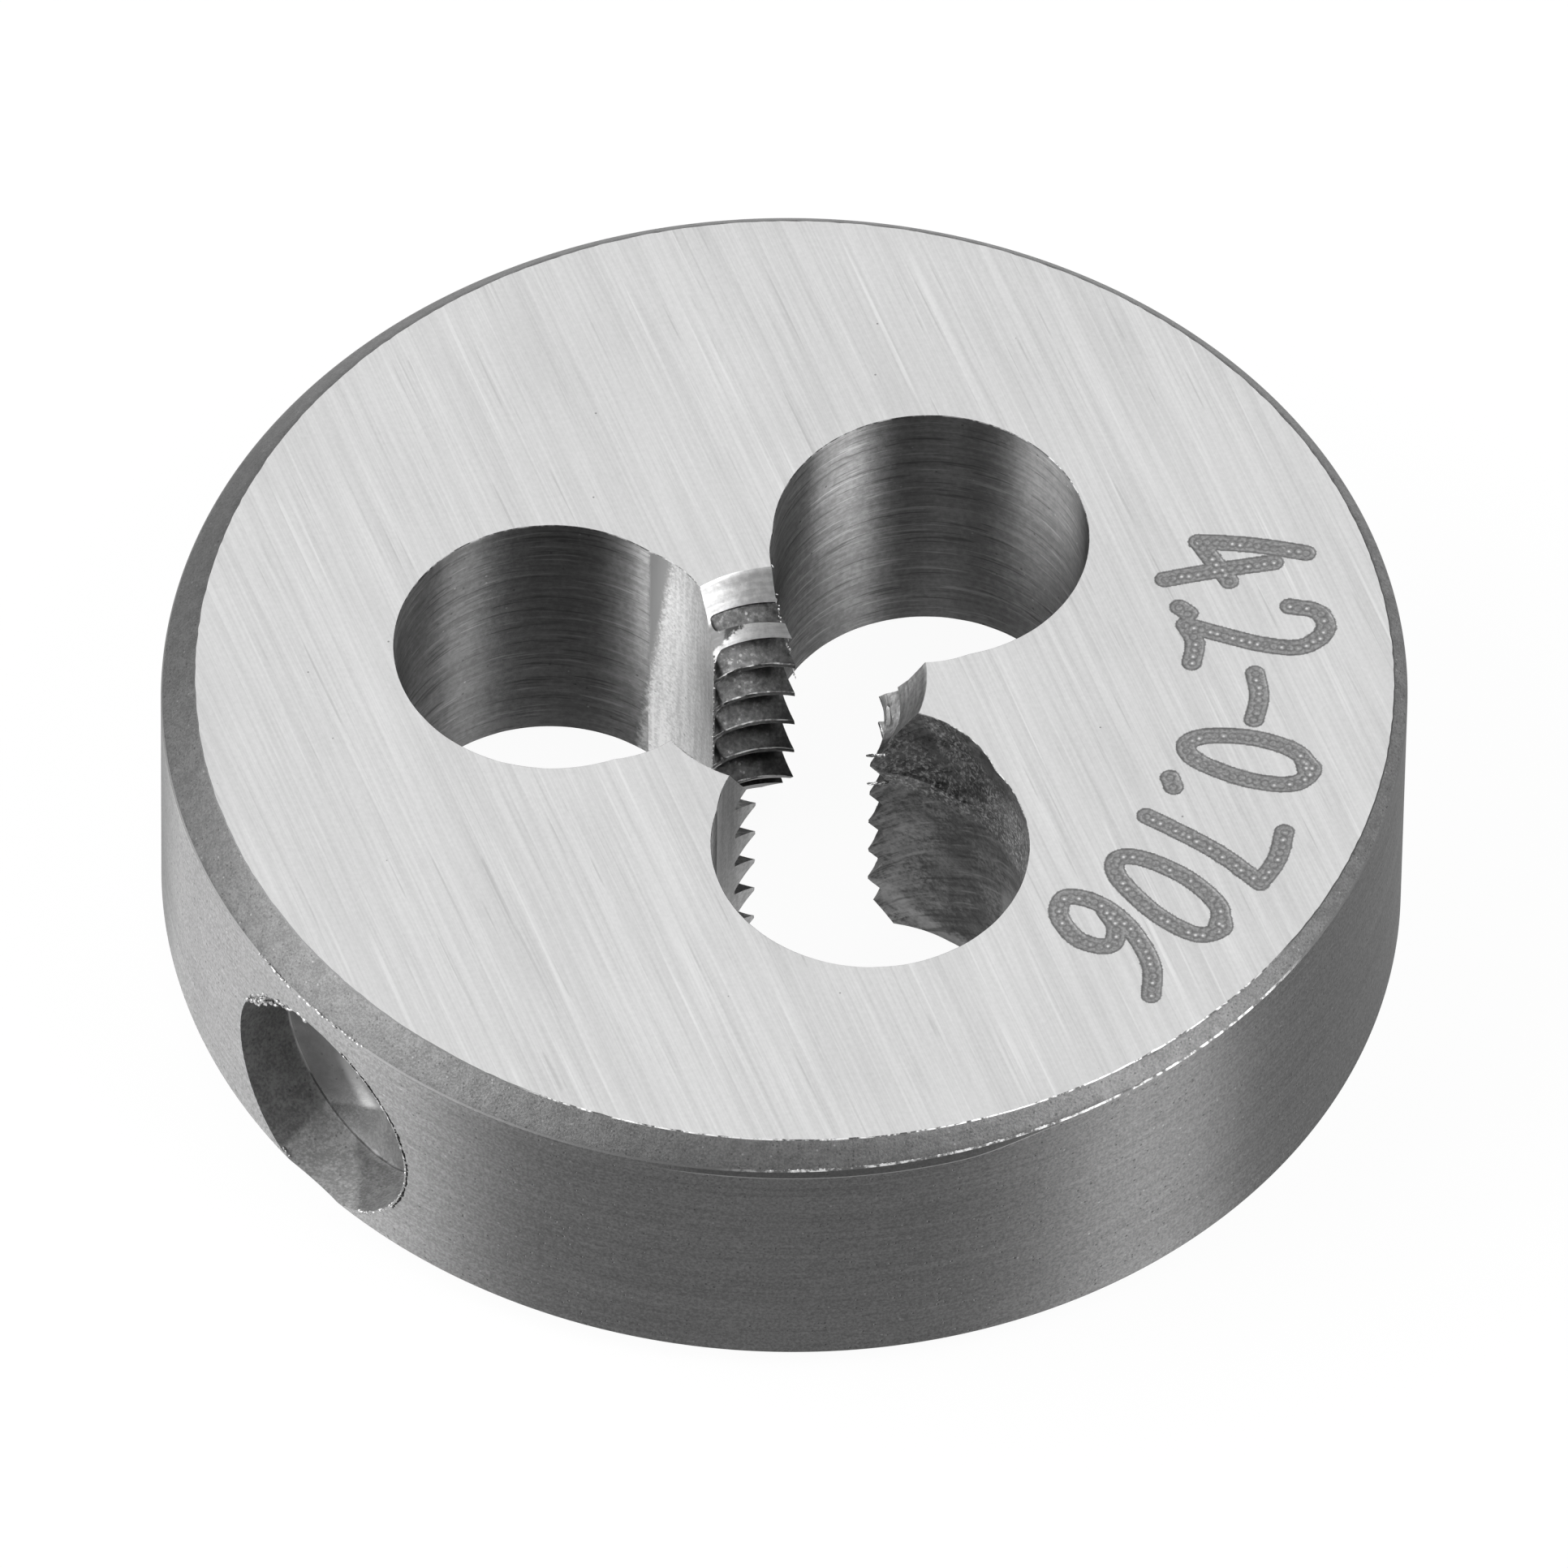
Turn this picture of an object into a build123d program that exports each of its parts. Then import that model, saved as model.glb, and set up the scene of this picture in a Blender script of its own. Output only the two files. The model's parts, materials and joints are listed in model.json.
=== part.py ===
"""Round threading die of the solid, unsplit pattern.

One hardened steel disc: a threaded opening in the middle, three chip holes that open into
it, three lands between them that carry the cutting teeth, a lead-in cone at each face, a
chamfered edge round each face and one blind hole drilled in the rim for the holder's screw.
The chip holes are countersunk at the unmarked face.
The origin is on the axis at the unmarked face, with +Z towards the marked face.
Lengths are in millimetres and angles in degrees.
"""

import os
from math import ceil, cos, floor, radians, sin, tan

from build123d import *

os.makedirs("parts", exist_ok=True)

# Disc
body_diameter = 20.0
body_thickness = 5.3

# Edge chamfers, turned at 45 degrees before the rim was ground. The rim was ground a little
# off their axis, so each chamfer is wide on one side of the disc and narrow on the other.
top_chamfer_width = 0.37
top_chamfer_runout = (0.166, -0.011)
bottom_chamfer_width = 0.30
bottom_chamfer_runout = (0.131, 0.093)

# Thread, right-hand, with 60 degree flanks
thread_major_diameter = 4.166
thread_pitch = 25.4 / 36
thread_flank_angle = 30.0
thread_crest_flat = 0.083
thread_root_flat = thread_pitch / 8
# Height of the middle of a groove above the unmarked face, on the +X side
thread_groove_height = 0.256

# Arc of one groove, enough to pass right over a land
groove_span = 84.0

# Lead-in cones, one at each end of the thread, wider than the thread by a margin
marked_lead_in_margin = 0.2
unmarked_lead_in_margin = 0.02
lead_in_half_angle = 30.0

# Chip holes
chip_hole_count = 3
chip_hole_diameter = 5.08
chip_hole_pitch_radius = 3.77
chip_hole_start_angle = 52.0
# Countersinks of 45 degrees that break the holes' edges at the unmarked face
countersink_width = 0.27

# Rake faces. A small wheel was fed from each chip hole into both of its lands, some way past the
# hole's wall. Its feed was turned from the line to the axis towards the land.
rake_wheel_diameter = 3.8
rake_wheel_turn = 24.0
rake_infeed = 0.13
# Turn and infeed of the wheels that were fed differently, by number of the hole and side
uneven_rakes = {(1, -1): (24.0, 0.21), (1, 1): (30.0, 0.15), (2, -1): (35.0, 0.30)}

# Blind hole drilled in the rim, with the cone that the drill's point leaves
dimple_angle = 222.0
dimple_diameter = 4.0
dimple_wall_depth = 1.2
dimple_point_angle = 118.0
# How far the hole is below the middle of the thickness
dimple_drop = 0.28

# How far a cutting shape runs past the face that it leaves
overrun = 0.5

body_radius = body_diameter / 2
major_radius = thread_major_diameter / 2
flank_slope = tan(radians(thread_flank_angle))
thread_depth = (thread_pitch - thread_root_flat - thread_crest_flat) / 2 / flank_slope
minor_radius = major_radius - thread_depth
marked_lead_in_radius = major_radius + marked_lead_in_margin
unmarked_lead_in_radius = major_radius + unmarked_lead_in_margin
lead_in_slope = tan(radians(lead_in_half_angle))
chip_hole_radius = chip_hole_diameter / 2
rake_wheel_radius = rake_wheel_diameter / 2
dimple_radius = dimple_diameter / 2
dimple_point_depth = dimple_radius / tan(radians(dimple_point_angle / 2))
dimple_height = body_thickness / 2 - dimple_drop


def chamfer_plane(runout):
    """Upright plane through a chamfer's own axis, with X outwards and Y up the axis."""
    return Plane(origin=(*runout, 0), x_dir=(1, 0, 0), z_dir=(0, -1, 0))


def chip_hole_angle(index):
    """Direction of one chip hole, seen from the axis."""
    return chip_hole_start_angle + index * 360 / chip_hole_count


def rake_wheel_centre(index, side):
    """Centre of the wheel in one chip hole, fed towards the land on one side, -1 or 1."""
    turn, infeed = uneven_rakes.get((index, side), (rake_wheel_turn, rake_infeed))
    hole = radians(chip_hole_angle(index))
    feed = radians(chip_hole_angle(index) + 180 + side * turn)
    shift = chip_hole_radius - rake_wheel_radius + infeed
    x = chip_hole_pitch_radius * cos(hole) + shift * cos(feed)
    y = chip_hole_pitch_radius * sin(hole) + shift * sin(feed)
    return (x, y)


with BuildPart() as thread_groove:
    # Stretch of groove long enough to cross one land, beginning on the +X side
    groove_inner_radius = minor_radius - thread_crest_flat / 4 / flank_slope
    inner_half_width = (thread_pitch - thread_crest_flat / 2) / 2
    root_half_width = thread_root_flat / 2
    with BuildLine() as groove_path:
        Helix(pitch=thread_pitch, height=thread_pitch * groove_span / 360, radius=major_radius)
    with BuildSketch(Plane(origin=(0, 0, 0), x_dir=(1, 0, 0), z_dir=(0, -1, 0))):
        with BuildLine():
            Polyline(
                (groove_inner_radius, -inner_half_width),
                (major_radius, -root_half_width),
                (major_radius, root_half_width),
                (groove_inner_radius, inner_half_width),
                close=True,
            )
        make_face()
    sweep(path=groove_path.wire(), is_frenet=True)


with BuildPart() as round_die:
    # Disc
    Cylinder(body_radius, body_thickness, align=(Align.CENTER, Align.CENTER, Align.MIN))

    # Chamfer round the marked face
    face_radius = body_radius - top_chamfer_width
    reach = 2 * top_chamfer_width + overrun
    with BuildSketch(chamfer_plane(top_chamfer_runout)):
        with BuildLine():
            Polyline(
                (face_radius - overrun, body_thickness + overrun),
                (face_radius + reach, body_thickness - reach),
                (face_radius + reach, body_thickness + overrun),
                close=True,
            )
        make_face()
    revolve(axis=Axis((*top_chamfer_runout, 0), (0, 0, 1)), mode=Mode.SUBTRACT)

    # Chamfer round the unmarked face
    face_radius = body_radius - bottom_chamfer_width
    reach = 2 * bottom_chamfer_width + overrun
    with BuildSketch(chamfer_plane(bottom_chamfer_runout)):
        with BuildLine():
            Polyline(
                (face_radius - overrun, -overrun),
                (face_radius + reach, reach),
                (face_radius + reach, -overrun),
                close=True,
            )
        make_face()
    revolve(axis=Axis((*bottom_chamfer_runout, 0), (0, 0, 1)), mode=Mode.SUBTRACT)

    # Opening at the thread's minor diameter
    Cylinder(minor_radius, 3 * body_thickness, mode=Mode.SUBTRACT)

    # Thread grooves across each land, all parts of one right-hand helix
    groove_places = []
    for land in range(chip_hole_count):
        start_angle = chip_hole_angle(land + 0.5) - groove_span / 2
        rise = thread_groove_height + thread_pitch * start_angle / 360
        first_turn = floor(-rise / thread_pitch) - 1
        last_turn = ceil((body_thickness - rise) / thread_pitch)
        for turn in range(first_turn, last_turn + 1):
            height = rise + turn * thread_pitch
            groove_places.append(Location((0, 0, height), (0, 0, start_angle)))
    with Locations(groove_places):
        add(thread_groove.part, mode=Mode.SUBTRACT)

    # Lead-in cone at the marked face
    with Locations((0, 0, body_thickness)):
        Cone(
            0,
            marked_lead_in_radius,
            marked_lead_in_radius / lead_in_slope,
            align=(Align.CENTER, Align.CENTER, Align.MAX),
            mode=Mode.SUBTRACT,
        )

    # Lead-in cone at the unmarked face
    with Locations(Location((0, 0, 0), (180, 0, 0))):
        Cone(
            0,
            unmarked_lead_in_radius,
            unmarked_lead_in_radius / lead_in_slope,
            align=(Align.CENTER, Align.CENTER, Align.MAX),
            mode=Mode.SUBTRACT,
        )

    # Chip holes
    with PolarLocations(chip_hole_pitch_radius, chip_hole_count, chip_hole_start_angle):
        Cylinder(chip_hole_radius, 3 * body_thickness, mode=Mode.SUBTRACT)

    # Countersinks of the chip holes, drawn past both ends of the cone that they leave
    with PolarLocations(chip_hole_pitch_radius, chip_hole_count, chip_hole_start_angle):
        with Locations((0, 0, countersink_width / 2)):
            Cone(
                chip_hole_radius + countersink_width + overrun,
                chip_hole_radius - overrun,
                countersink_width + 2 * overrun,
                mode=Mode.SUBTRACT,
            )

    # Rake faces on both sides of each land
    for hole in range(chip_hole_count):
        for side in (-1, 1):
            with Locations(rake_wheel_centre(hole, side)):
                Cylinder(rake_wheel_radius, 3 * body_thickness, mode=Mode.SUBTRACT)

    # Blind hole in the rim
    dimple_direction = Vector(cos(radians(dimple_angle)), sin(radians(dimple_angle)), 0)
    wall_end = Vector(0, 0, dimple_height) + dimple_direction * (body_radius - dimple_wall_depth)
    with Locations(Plane(origin=wall_end, z_dir=dimple_direction)):
        Cylinder(
            dimple_radius,
            dimple_wall_depth + overrun,
            align=(Align.CENTER, Align.CENTER, Align.MIN),
            mode=Mode.SUBTRACT,
        )
        Cone(
            0,
            dimple_radius,
            dimple_point_depth,
            align=(Align.CENTER, Align.CENTER, Align.MAX),
            mode=Mode.SUBTRACT,
        )

round_die.part.label = "round_die"
export_step(round_die.part, "parts/round_die.step")
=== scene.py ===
"""Looks of the round threading die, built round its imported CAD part.

The body is one finely meshed piece that stands for the CAD node: the blank, cut by the thread, the
lead-in cones, the chip holes, the rake wheels and the drill of the blind hole, with a hand-engraved
number mark. Burrs are small pieces of their own. Shapes are worked out in millimetres, in the part's
frame, and brought to metres when a piece is finished. Lines that the photograph shows on the
steel, such as the end of a shade, are kept as pairs of its pixels, seen from its own camera.
"""

import json
import logging
import math
from dataclasses import dataclass, field
from enum import Enum

import bpy
import numpy as np
from mathutils import Matrix, Vector
from mathutils.geometry import delaunay_2d_cdt

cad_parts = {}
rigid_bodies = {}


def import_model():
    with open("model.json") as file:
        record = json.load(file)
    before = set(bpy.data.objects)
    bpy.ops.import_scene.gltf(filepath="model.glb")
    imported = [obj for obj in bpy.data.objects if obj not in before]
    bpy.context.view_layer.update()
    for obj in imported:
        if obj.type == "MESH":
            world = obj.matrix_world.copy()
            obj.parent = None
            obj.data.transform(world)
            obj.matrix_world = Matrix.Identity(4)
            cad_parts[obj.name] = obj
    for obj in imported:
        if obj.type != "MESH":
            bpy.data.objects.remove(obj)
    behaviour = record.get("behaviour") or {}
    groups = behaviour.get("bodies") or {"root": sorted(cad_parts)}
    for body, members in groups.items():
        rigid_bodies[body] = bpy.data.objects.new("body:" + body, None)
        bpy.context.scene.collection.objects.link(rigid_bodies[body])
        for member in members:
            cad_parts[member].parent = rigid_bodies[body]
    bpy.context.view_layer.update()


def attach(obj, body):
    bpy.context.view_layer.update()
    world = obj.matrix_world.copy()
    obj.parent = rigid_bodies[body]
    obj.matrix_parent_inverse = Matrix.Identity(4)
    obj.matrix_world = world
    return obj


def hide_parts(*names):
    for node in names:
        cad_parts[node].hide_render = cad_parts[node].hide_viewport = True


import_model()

log = logging.getLogger("round_die")

Finishes = dict["Region", bpy.types.Material]
Socket = bpy.types.NodeSocket

MM = 0.001
NODE = "round_die"
BODY = "root"


# Sizes


@dataclass(frozen=True)
class DieSizes:
    """Sizes of the die in millimetres and degrees, the same as in the part's own source."""

    rim_radius: float = 10.0
    thickness: float = 5.3
    face_radius: float = 9.63
    face_centre: tuple[float, float] = (0.166, -0.011)
    lower_face_radius: float = 9.70
    lower_face_centre: tuple[float, float] = (0.131, 0.093)
    pitch: float = 25.4 / 36
    major_radius: float = 2.083
    crest_flat: float = 0.083
    groove_height: float = 0.256
    marked_lead_in_margin: float = 0.2
    unmarked_lead_in_margin: float = 0.02
    lead_in_half_angle: float = 30.0
    chip_hole_radius: float = 2.54
    chip_hole_pitch_radius: float = 3.77
    chip_hole_angles: tuple[float, float, float] = (52.0, 172.0, 292.0)
    countersink_width: float = 0.27
    rake_wheel_radius: float = 1.9
    rake_wheel_turns: tuple[float, ...] = (24.0, 24.0, 24.0, 30.0, 35.0, 24.0)
    rake_infeeds: tuple[float, ...] = (0.13, 0.13, 0.21, 0.15, 0.30, 0.13)
    blind_hole_angle: float = 222.0
    blind_hole_radius: float = 2.0
    blind_hole_wall: float = 1.2
    blind_hole_point: float = 118.0
    blind_hole_height: float = 2.37

    @property
    def root_flat(self) -> float:
        """Width of the flat at the bottom of a thread groove."""
        return self.pitch / 8

    @property
    def minor_radius(self) -> float:
        """Radius at the tips of the teeth."""
        return self.major_radius - (self.pitch - self.root_flat - self.crest_flat) / 2 * math.sqrt(3)

    def lead_in_radius(self, side: int) -> float:
        """Radius of a lead-in cone at its face, 1 for the marked face and -1 for the other."""
        return self.major_radius + (self.marked_lead_in_margin if side > 0 else self.unmarked_lead_in_margin)

    def chip_hole_centre(self, index: int) -> np.ndarray:
        """Centre of one chip hole, seen along the axis."""
        angle = math.radians(self.chip_hole_angles[index])
        return self.chip_hole_pitch_radius * np.array([math.cos(angle), math.sin(angle)])

    def rake_wheel_centre(self, index: int, side: int, even: bool = False) -> np.ndarray:
        """Centre of the rake wheel in one chip hole.

        Args:
            index: number of the chip hole.
            side: -1 or 1, for the land on one side or the other.
            even: whether the wheel is fed as most of them were.

        Returns:
            The centre, seen along the axis.
        """
        wheel = 0 if even else 2 * index + (side > 0)
        feed = math.radians(self.chip_hole_angles[index] + 180 + side * self.rake_wheel_turns[wheel])
        shift = self.chip_hole_radius - self.rake_wheel_radius + self.rake_infeeds[wheel]
        return self.chip_hole_centre(index) + shift * np.array([math.cos(feed), math.sin(feed)])

    def blind_hole_axis(self) -> np.ndarray:
        """Unit vector out of the blind hole."""
        angle = math.radians(self.blind_hole_angle)
        return np.array([math.cos(angle), math.sin(angle), 0.0])


class Region(Enum):
    """Parts of the die's surface that have a finish of their own."""

    FACE = "ground_face"
    CHAMFER = "blasted_chamfer"
    RIM = "turned_rim"
    CHIP_HOLE = "drilled_chip_hole"
    RAKE = "rake_face"
    TORN = "torn_wall"
    LEAD_IN = "lead_in_cone"
    THREAD = "thread_flank"
    CREST = "thread_crest"
    EDGE = "worn_edge"
    HOLE_EDGE = "hole_edge"
    FACE_EDGE = "face_edge"
    BORDER = "chamfer_border"
    BURR = "burr"
    CRACK = "dark_burr"
    FLAP = "torn_lip"
    BLIND_SEAM = "blind_hole_seam"
    BLIND_WALL = "blind_hole_wall"
    BLIND_POINT = "blind_hole_point"
    MARK = "engraved_mark"


# Mesh helpers


def stand_in_scene(name: str, data: bpy.types.ID) -> bpy.types.Object:
    """Makes an object of a block of data and links it to the scene."""
    thing = bpy.data.objects.new(name, data)
    bpy.context.scene.collection.objects.link(thing)
    return thing


def make_object(name: str, vertices: np.ndarray, faces: list, wires: list | None = None) -> bpy.types.Object:
    """Makes a mesh object from arrays.

    Args:
        name: name of the object and its mesh.
        vertices: one row of x, y, z a vertex.
        faces: vertex numbers of each face, counter-clockwise seen from outside.
        wires: pairs of vertex numbers for edges without a face, if any.

    Returns:
        The object, linked to the scene.
    """
    mesh = bpy.data.meshes.new(name)
    mesh.from_pydata(np.asarray(vertices, float).tolist(), wires or [], faces)
    mesh.validate()
    return stand_in_scene(name, mesh)


def tag(
    thing: bpy.types.Object, finishes: Finishes, regions: list[Region], numbers: np.ndarray | None = None
) -> None:
    """Gives an object the materials of regions.

    Args:
        thing: the object.
        finishes: material of each region.
        regions: regions in the order of the material slots.
        numbers: slot number of every face, all 0 if left out.
    """
    for region in regions:
        thing.data.materials.append(finishes[region])
    if numbers is not None:
        thing.data.polygons.foreach_set("material_index", np.asarray(numbers, np.int32))


def settle(thing: bpy.types.Object, name: str) -> bpy.types.Object:
    """Turns an object's evaluated shape into a plain mesh object and removes the source.

    Args:
        thing: object with modifiers.
        name: name of the new object.

    Returns:
        The plain mesh object.
    """
    graph = bpy.context.evaluated_depsgraph_get()
    graph.update()
    mesh = bpy.data.meshes.new_from_object(thing.evaluated_get(graph), depsgraph=graph)
    data = thing.data
    bpy.data.objects.remove(thing)
    if isinstance(data, bpy.types.Mesh):
        bpy.data.meshes.remove(data)
    else:
        bpy.data.curves.remove(data)
    mesh.name = name
    return stand_in_scene(name, mesh)


def ring_faces(rings: int, columns: int, start: int = 0) -> list:
    """Quads between rings of vertices that close round, first ring on top, facing outwards.

    Args:
        rings: number of rings.
        columns: vertices in a ring.
        start: number of the first ring's first vertex.

    Returns:
        Vertex numbers of each quad.
    """
    faces = []
    for ring in range(rings - 1):
        upper = start + ring * columns
        lower = upper + columns
        for column in range(columns):
            after = (column + 1) % columns
            faces.append((upper + column, lower + column, lower + after, upper + after))
    return faces


def turned_solid(name: str, profile: list, columns: int, ragged: "Ragged | None" = None) -> bpy.types.Object:
    """Closed solid turned about Z.

    Args:
        name: name of the object.
        profile: (radius, height) pairs from the top down, none of them on the axis.
        columns: vertices in a ring.
        ragged: unevenness of the wall, if any.

    Returns:
        The object.
    """
    angle = np.linspace(0, 2 * math.pi, columns, endpoint=False)
    rows = []
    for number, (radius, height) in enumerate(profile):
        reach = np.full(columns, float(radius))
        if ragged is not None:
            reach = reach + ragged.row(number, columns)
        rows.append(np.column_stack([reach * np.cos(angle), reach * np.sin(angle), np.full(columns, height)]))
    vertices = np.vstack(rows)
    faces = ring_faces(len(profile), columns)
    faces.append(tuple(range(columns)))
    last = (len(profile) - 1) * columns
    faces.append(tuple(last + column for column in reversed(range(columns))))
    return make_object(name, vertices, faces)


@dataclass
class Ragged:
    """Seeded unevenness that closes round a ring.

    Attributes:
        seed: number that fixes the draw.
        amount: greatest size of the unevenness.
        waves: number of swings round the ring.
        drift: share of the row before that each row keeps.
        memory: the row before.
    """

    seed: int
    amount: float
    waves: int
    drift: float = 0.6
    memory: np.ndarray | None = field(default=None, repr=False)

    def ring(self, columns: int, shift: int = 0) -> np.ndarray:
        """One closed row of unevenness between -1 and 1.

        Args:
            columns: places in the row.
            shift: number of the draw, for rows that differ.

        Returns:
            One value a place.
        """
        draw = np.random.default_rng(self.seed + 7919 * shift)
        knots = draw.uniform(-1, 1, self.waves)
        place = np.linspace(0, self.waves, columns, endpoint=False)
        low = place.astype(int) % self.waves
        part = place - place.astype(int)
        part = part * part * (3 - 2 * part)
        return knots[low] * (1 - part) + knots[(low + 1) % self.waves] * part

    def row(self, number: int, columns: int) -> np.ndarray:
        """Unevenness of one row, part of it carried over from the row before.

        Args:
            number: number of the row, from 0.
            columns: places in the row.

        Returns:
            One value a place.
        """
        fresh = self.ring(columns, number)
        if self.memory is None or number == 0:
            self.memory = fresh
        else:
            self.memory = self.drift * self.memory + (1 - self.drift) * fresh
        return self.amount * self.memory


# The photograph's camera


@dataclass(frozen=True)
class PhotoCamera:
    """Camera at the photograph's place.

    Attributes:
        distance: distance to the target in metres.
        pixels_per_metre: scale of the image at the target.
        image: side of the image in pixels.
        sensor: width of the camera's sensor in Blender's millimetres.
        target: point on the axis that the view was measured from, in metres.
        offset: where the image's middle lies from the target, in pixels.
        right: image's right in the part's frame.
        down: image's down in the part's frame.
        forward: view direction in the part's frame.
    """

    distance: float = 0.63009
    pixels_per_metre: float = 76610.0
    image: float = 1932.0
    sensor: float = 36.0
    target: tuple[float, float, float] = (0.0, 0.0, 0.0028)
    offset: tuple[float, float] = (1.469, 10.981)
    right: tuple[float, float, float] = (0.99987575, 0.01210166, 0.01010167)
    down: tuple[float, float, float] = (0.01576369, -0.76759683, -0.64073912)
    forward: tuple[float, float, float] = (0.0, 0.64081874, -0.76769222)

    def from_image(self, right: float, down: float, forward: float) -> np.ndarray:
        """Vector in the part's frame from its shares along the image's own directions."""
        return np.array([right, down, forward]) @ np.array([self.right, self.down, self.forward])

    def place(self) -> np.ndarray:
        """Where the camera stands, in metres."""
        shift = np.array(self.offset) / self.pixels_per_metre
        return np.array(self.target) + self.from_image(*shift, -self.distance)

    def ray(self, pixel: tuple[float, float]) -> np.ndarray:
        """Direction in which the camera sees one pixel of the photograph."""
        across, down = np.array(pixel) - self.image / 2
        return self.from_image(across, down, self.distance * self.pixels_per_metre)

    def build(self) -> bpy.types.Object:
        """Makes the camera and makes it the scene's.

        Returns:
            The camera.
        """
        data = bpy.data.cameras.new("photo_camera")
        data.sensor_width = self.sensor
        data.lens = self.pixels_per_metre * self.distance / self.image * self.sensor
        data.clip_start, data.clip_end = 0.05, 20.0
        camera = stand_in_scene("photo_camera", data)
        right, down, forward = (Vector(v) for v in (self.right, self.down, self.forward))
        turn = Matrix((right, -down, -forward)).transposed()
        camera.matrix_world = Matrix.Translation(self.place()) @ turn.to_4x4()
        bpy.context.scene.camera = camera
        return camera


@dataclass(frozen=True)
class SightLine:
    """Straight line seen in the photograph. It stands for the plane through it and the camera.

    Attributes:
        start: pixel of the photograph that the line goes through.
        end: another pixel on it.
        inside: a pixel on the side that counts as beyond the line.
    """

    start: tuple[float, float]
    end: tuple[float, float]
    inside: tuple[float, float]

    def plane(self) -> tuple[np.ndarray, float]:
        """The plane through the line and the camera.

        Returns:
            Its unit normal, towards the inside, and its distance from the origin in millimetres.
        """
        camera = PhotoCamera()
        normal = np.cross(camera.ray(self.start), camera.ray(self.end))
        normal /= np.linalg.norm(normal)
        if normal @ camera.ray(self.inside) < 0:
            normal = -normal
        return normal, float(normal @ camera.place()) / MM


# Node trees


class NodeWriter:
    """Writes nodes into a tree, with sockets or plain numbers as inputs."""

    def __init__(self, tree: bpy.types.NodeTree) -> None:
        """Keeps the tree that the nodes go into."""
        self.tree = tree

    def add(self, kind: str, inputs: dict | None = None, **settings: object) -> bpy.types.Node:
        """Adds one node.

        Args:
            kind: Blender's name for the node.
            inputs: socket name or number to a socket or a value.
            settings: properties set on the node first.

        Returns:
            The node.
        """
        node = self.tree.nodes.new(kind)
        for key, value in settings.items():
            setattr(node, key, value)
        for key, value in (inputs or {}).items():
            self.feed(node.inputs[key], value)
        return node

    def geometry(self, kind: str, inputs: dict, **settings: object) -> Socket:
        """First output of a new node of geometry, whose kind is named without its prefix."""
        return self.add(f"GeometryNode{kind}", inputs, **settings).outputs[0]

    def feed(self, socket: Socket, value: object) -> None:
        """Links a socket to the input, or sets its own value.

        Args:
            socket: the input.
            value: socket or value for it.
        """
        if isinstance(value, Socket):
            self.tree.links.new(value, socket)
        else:
            socket.default_value = value

    def math(self, operation: str, first: object, second: object = 0.0) -> Socket:
        """Result of one Math node.

        Args:
            operation: Blender's name for the sum.
            first: first term.
            second: second term, if the operation has one.

        Returns:
            The result.
        """
        node = self.add("ShaderNodeMath", operation=operation)
        self.feed(node.inputs[0], first)
        self.feed(node.inputs[1], second)
        return node.outputs[0]

    def times(self, first: object, second: object) -> Socket:
        """Product of two values."""
        return self.math("MULTIPLY", first, second)

    def weighted(self, *parts: tuple[object, float]) -> Socket:
        """Sum of values, each times its own share.

        Args:
            parts: (value, share) pairs.

        Returns:
            The sum.
        """
        total = self.times(*parts[0])
        for value, share in parts[1:]:
            total = self.math("ADD", total, self.times(value, share))
        return total

    def scaled(self, vector: Socket, scale: Socket) -> Socket:
        """Vector times a number."""
        return self.add("ShaderNodeVectorMath", {0: vector, "Scale": scale}, operation="SCALE").outputs[0]

    def drawn_vector(self, seed: Socket, low: tuple, high: tuple) -> Socket:
        """Random vector for every point.

        Args:
            seed: number that fixes the draw.
            low: lower bound of each coordinate.
            high: upper bound of each coordinate.

        Returns:
            The vector.
        """
        inputs = {"Seed": seed, 0: low, 1: high}
        return self.add("FunctionNodeRandomValue", inputs, data_type="FLOAT_VECTOR").outputs[0]

    def away(self, value: object, middle: float) -> Socket:
        """How far a value is from a number, on either side."""
        return self.math("ABSOLUTE", self.math("SUBTRACT", value, middle))

    def ramp(
        self,
        value: object,
        low: float,
        high: float,
        to_low: float = 0.0,
        to_high: float = 1.0,
        smooth: bool = True,
    ) -> Socket:
        """Value mapped from one range to another, held at both ends.

        Args:
            value: the value.
            low: where the passage starts.
            high: where it ends.
            to_low: result at the start.
            to_high: result at the end.
            smooth: whether the passage eases in and out.

        Returns:
            The mapped value.
        """
        node = self.add("ShaderNodeMapRange", interpolation_type="SMOOTHSTEP" if smooth else "LINEAR")
        for name, number in zip(("From Min", "From Max", "To Min", "To Max"), (low, high, to_low, to_high)):
            node.inputs[name].default_value = number
        self.feed(node.inputs["Value"], value)
        return node.outputs["Result"]


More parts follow.
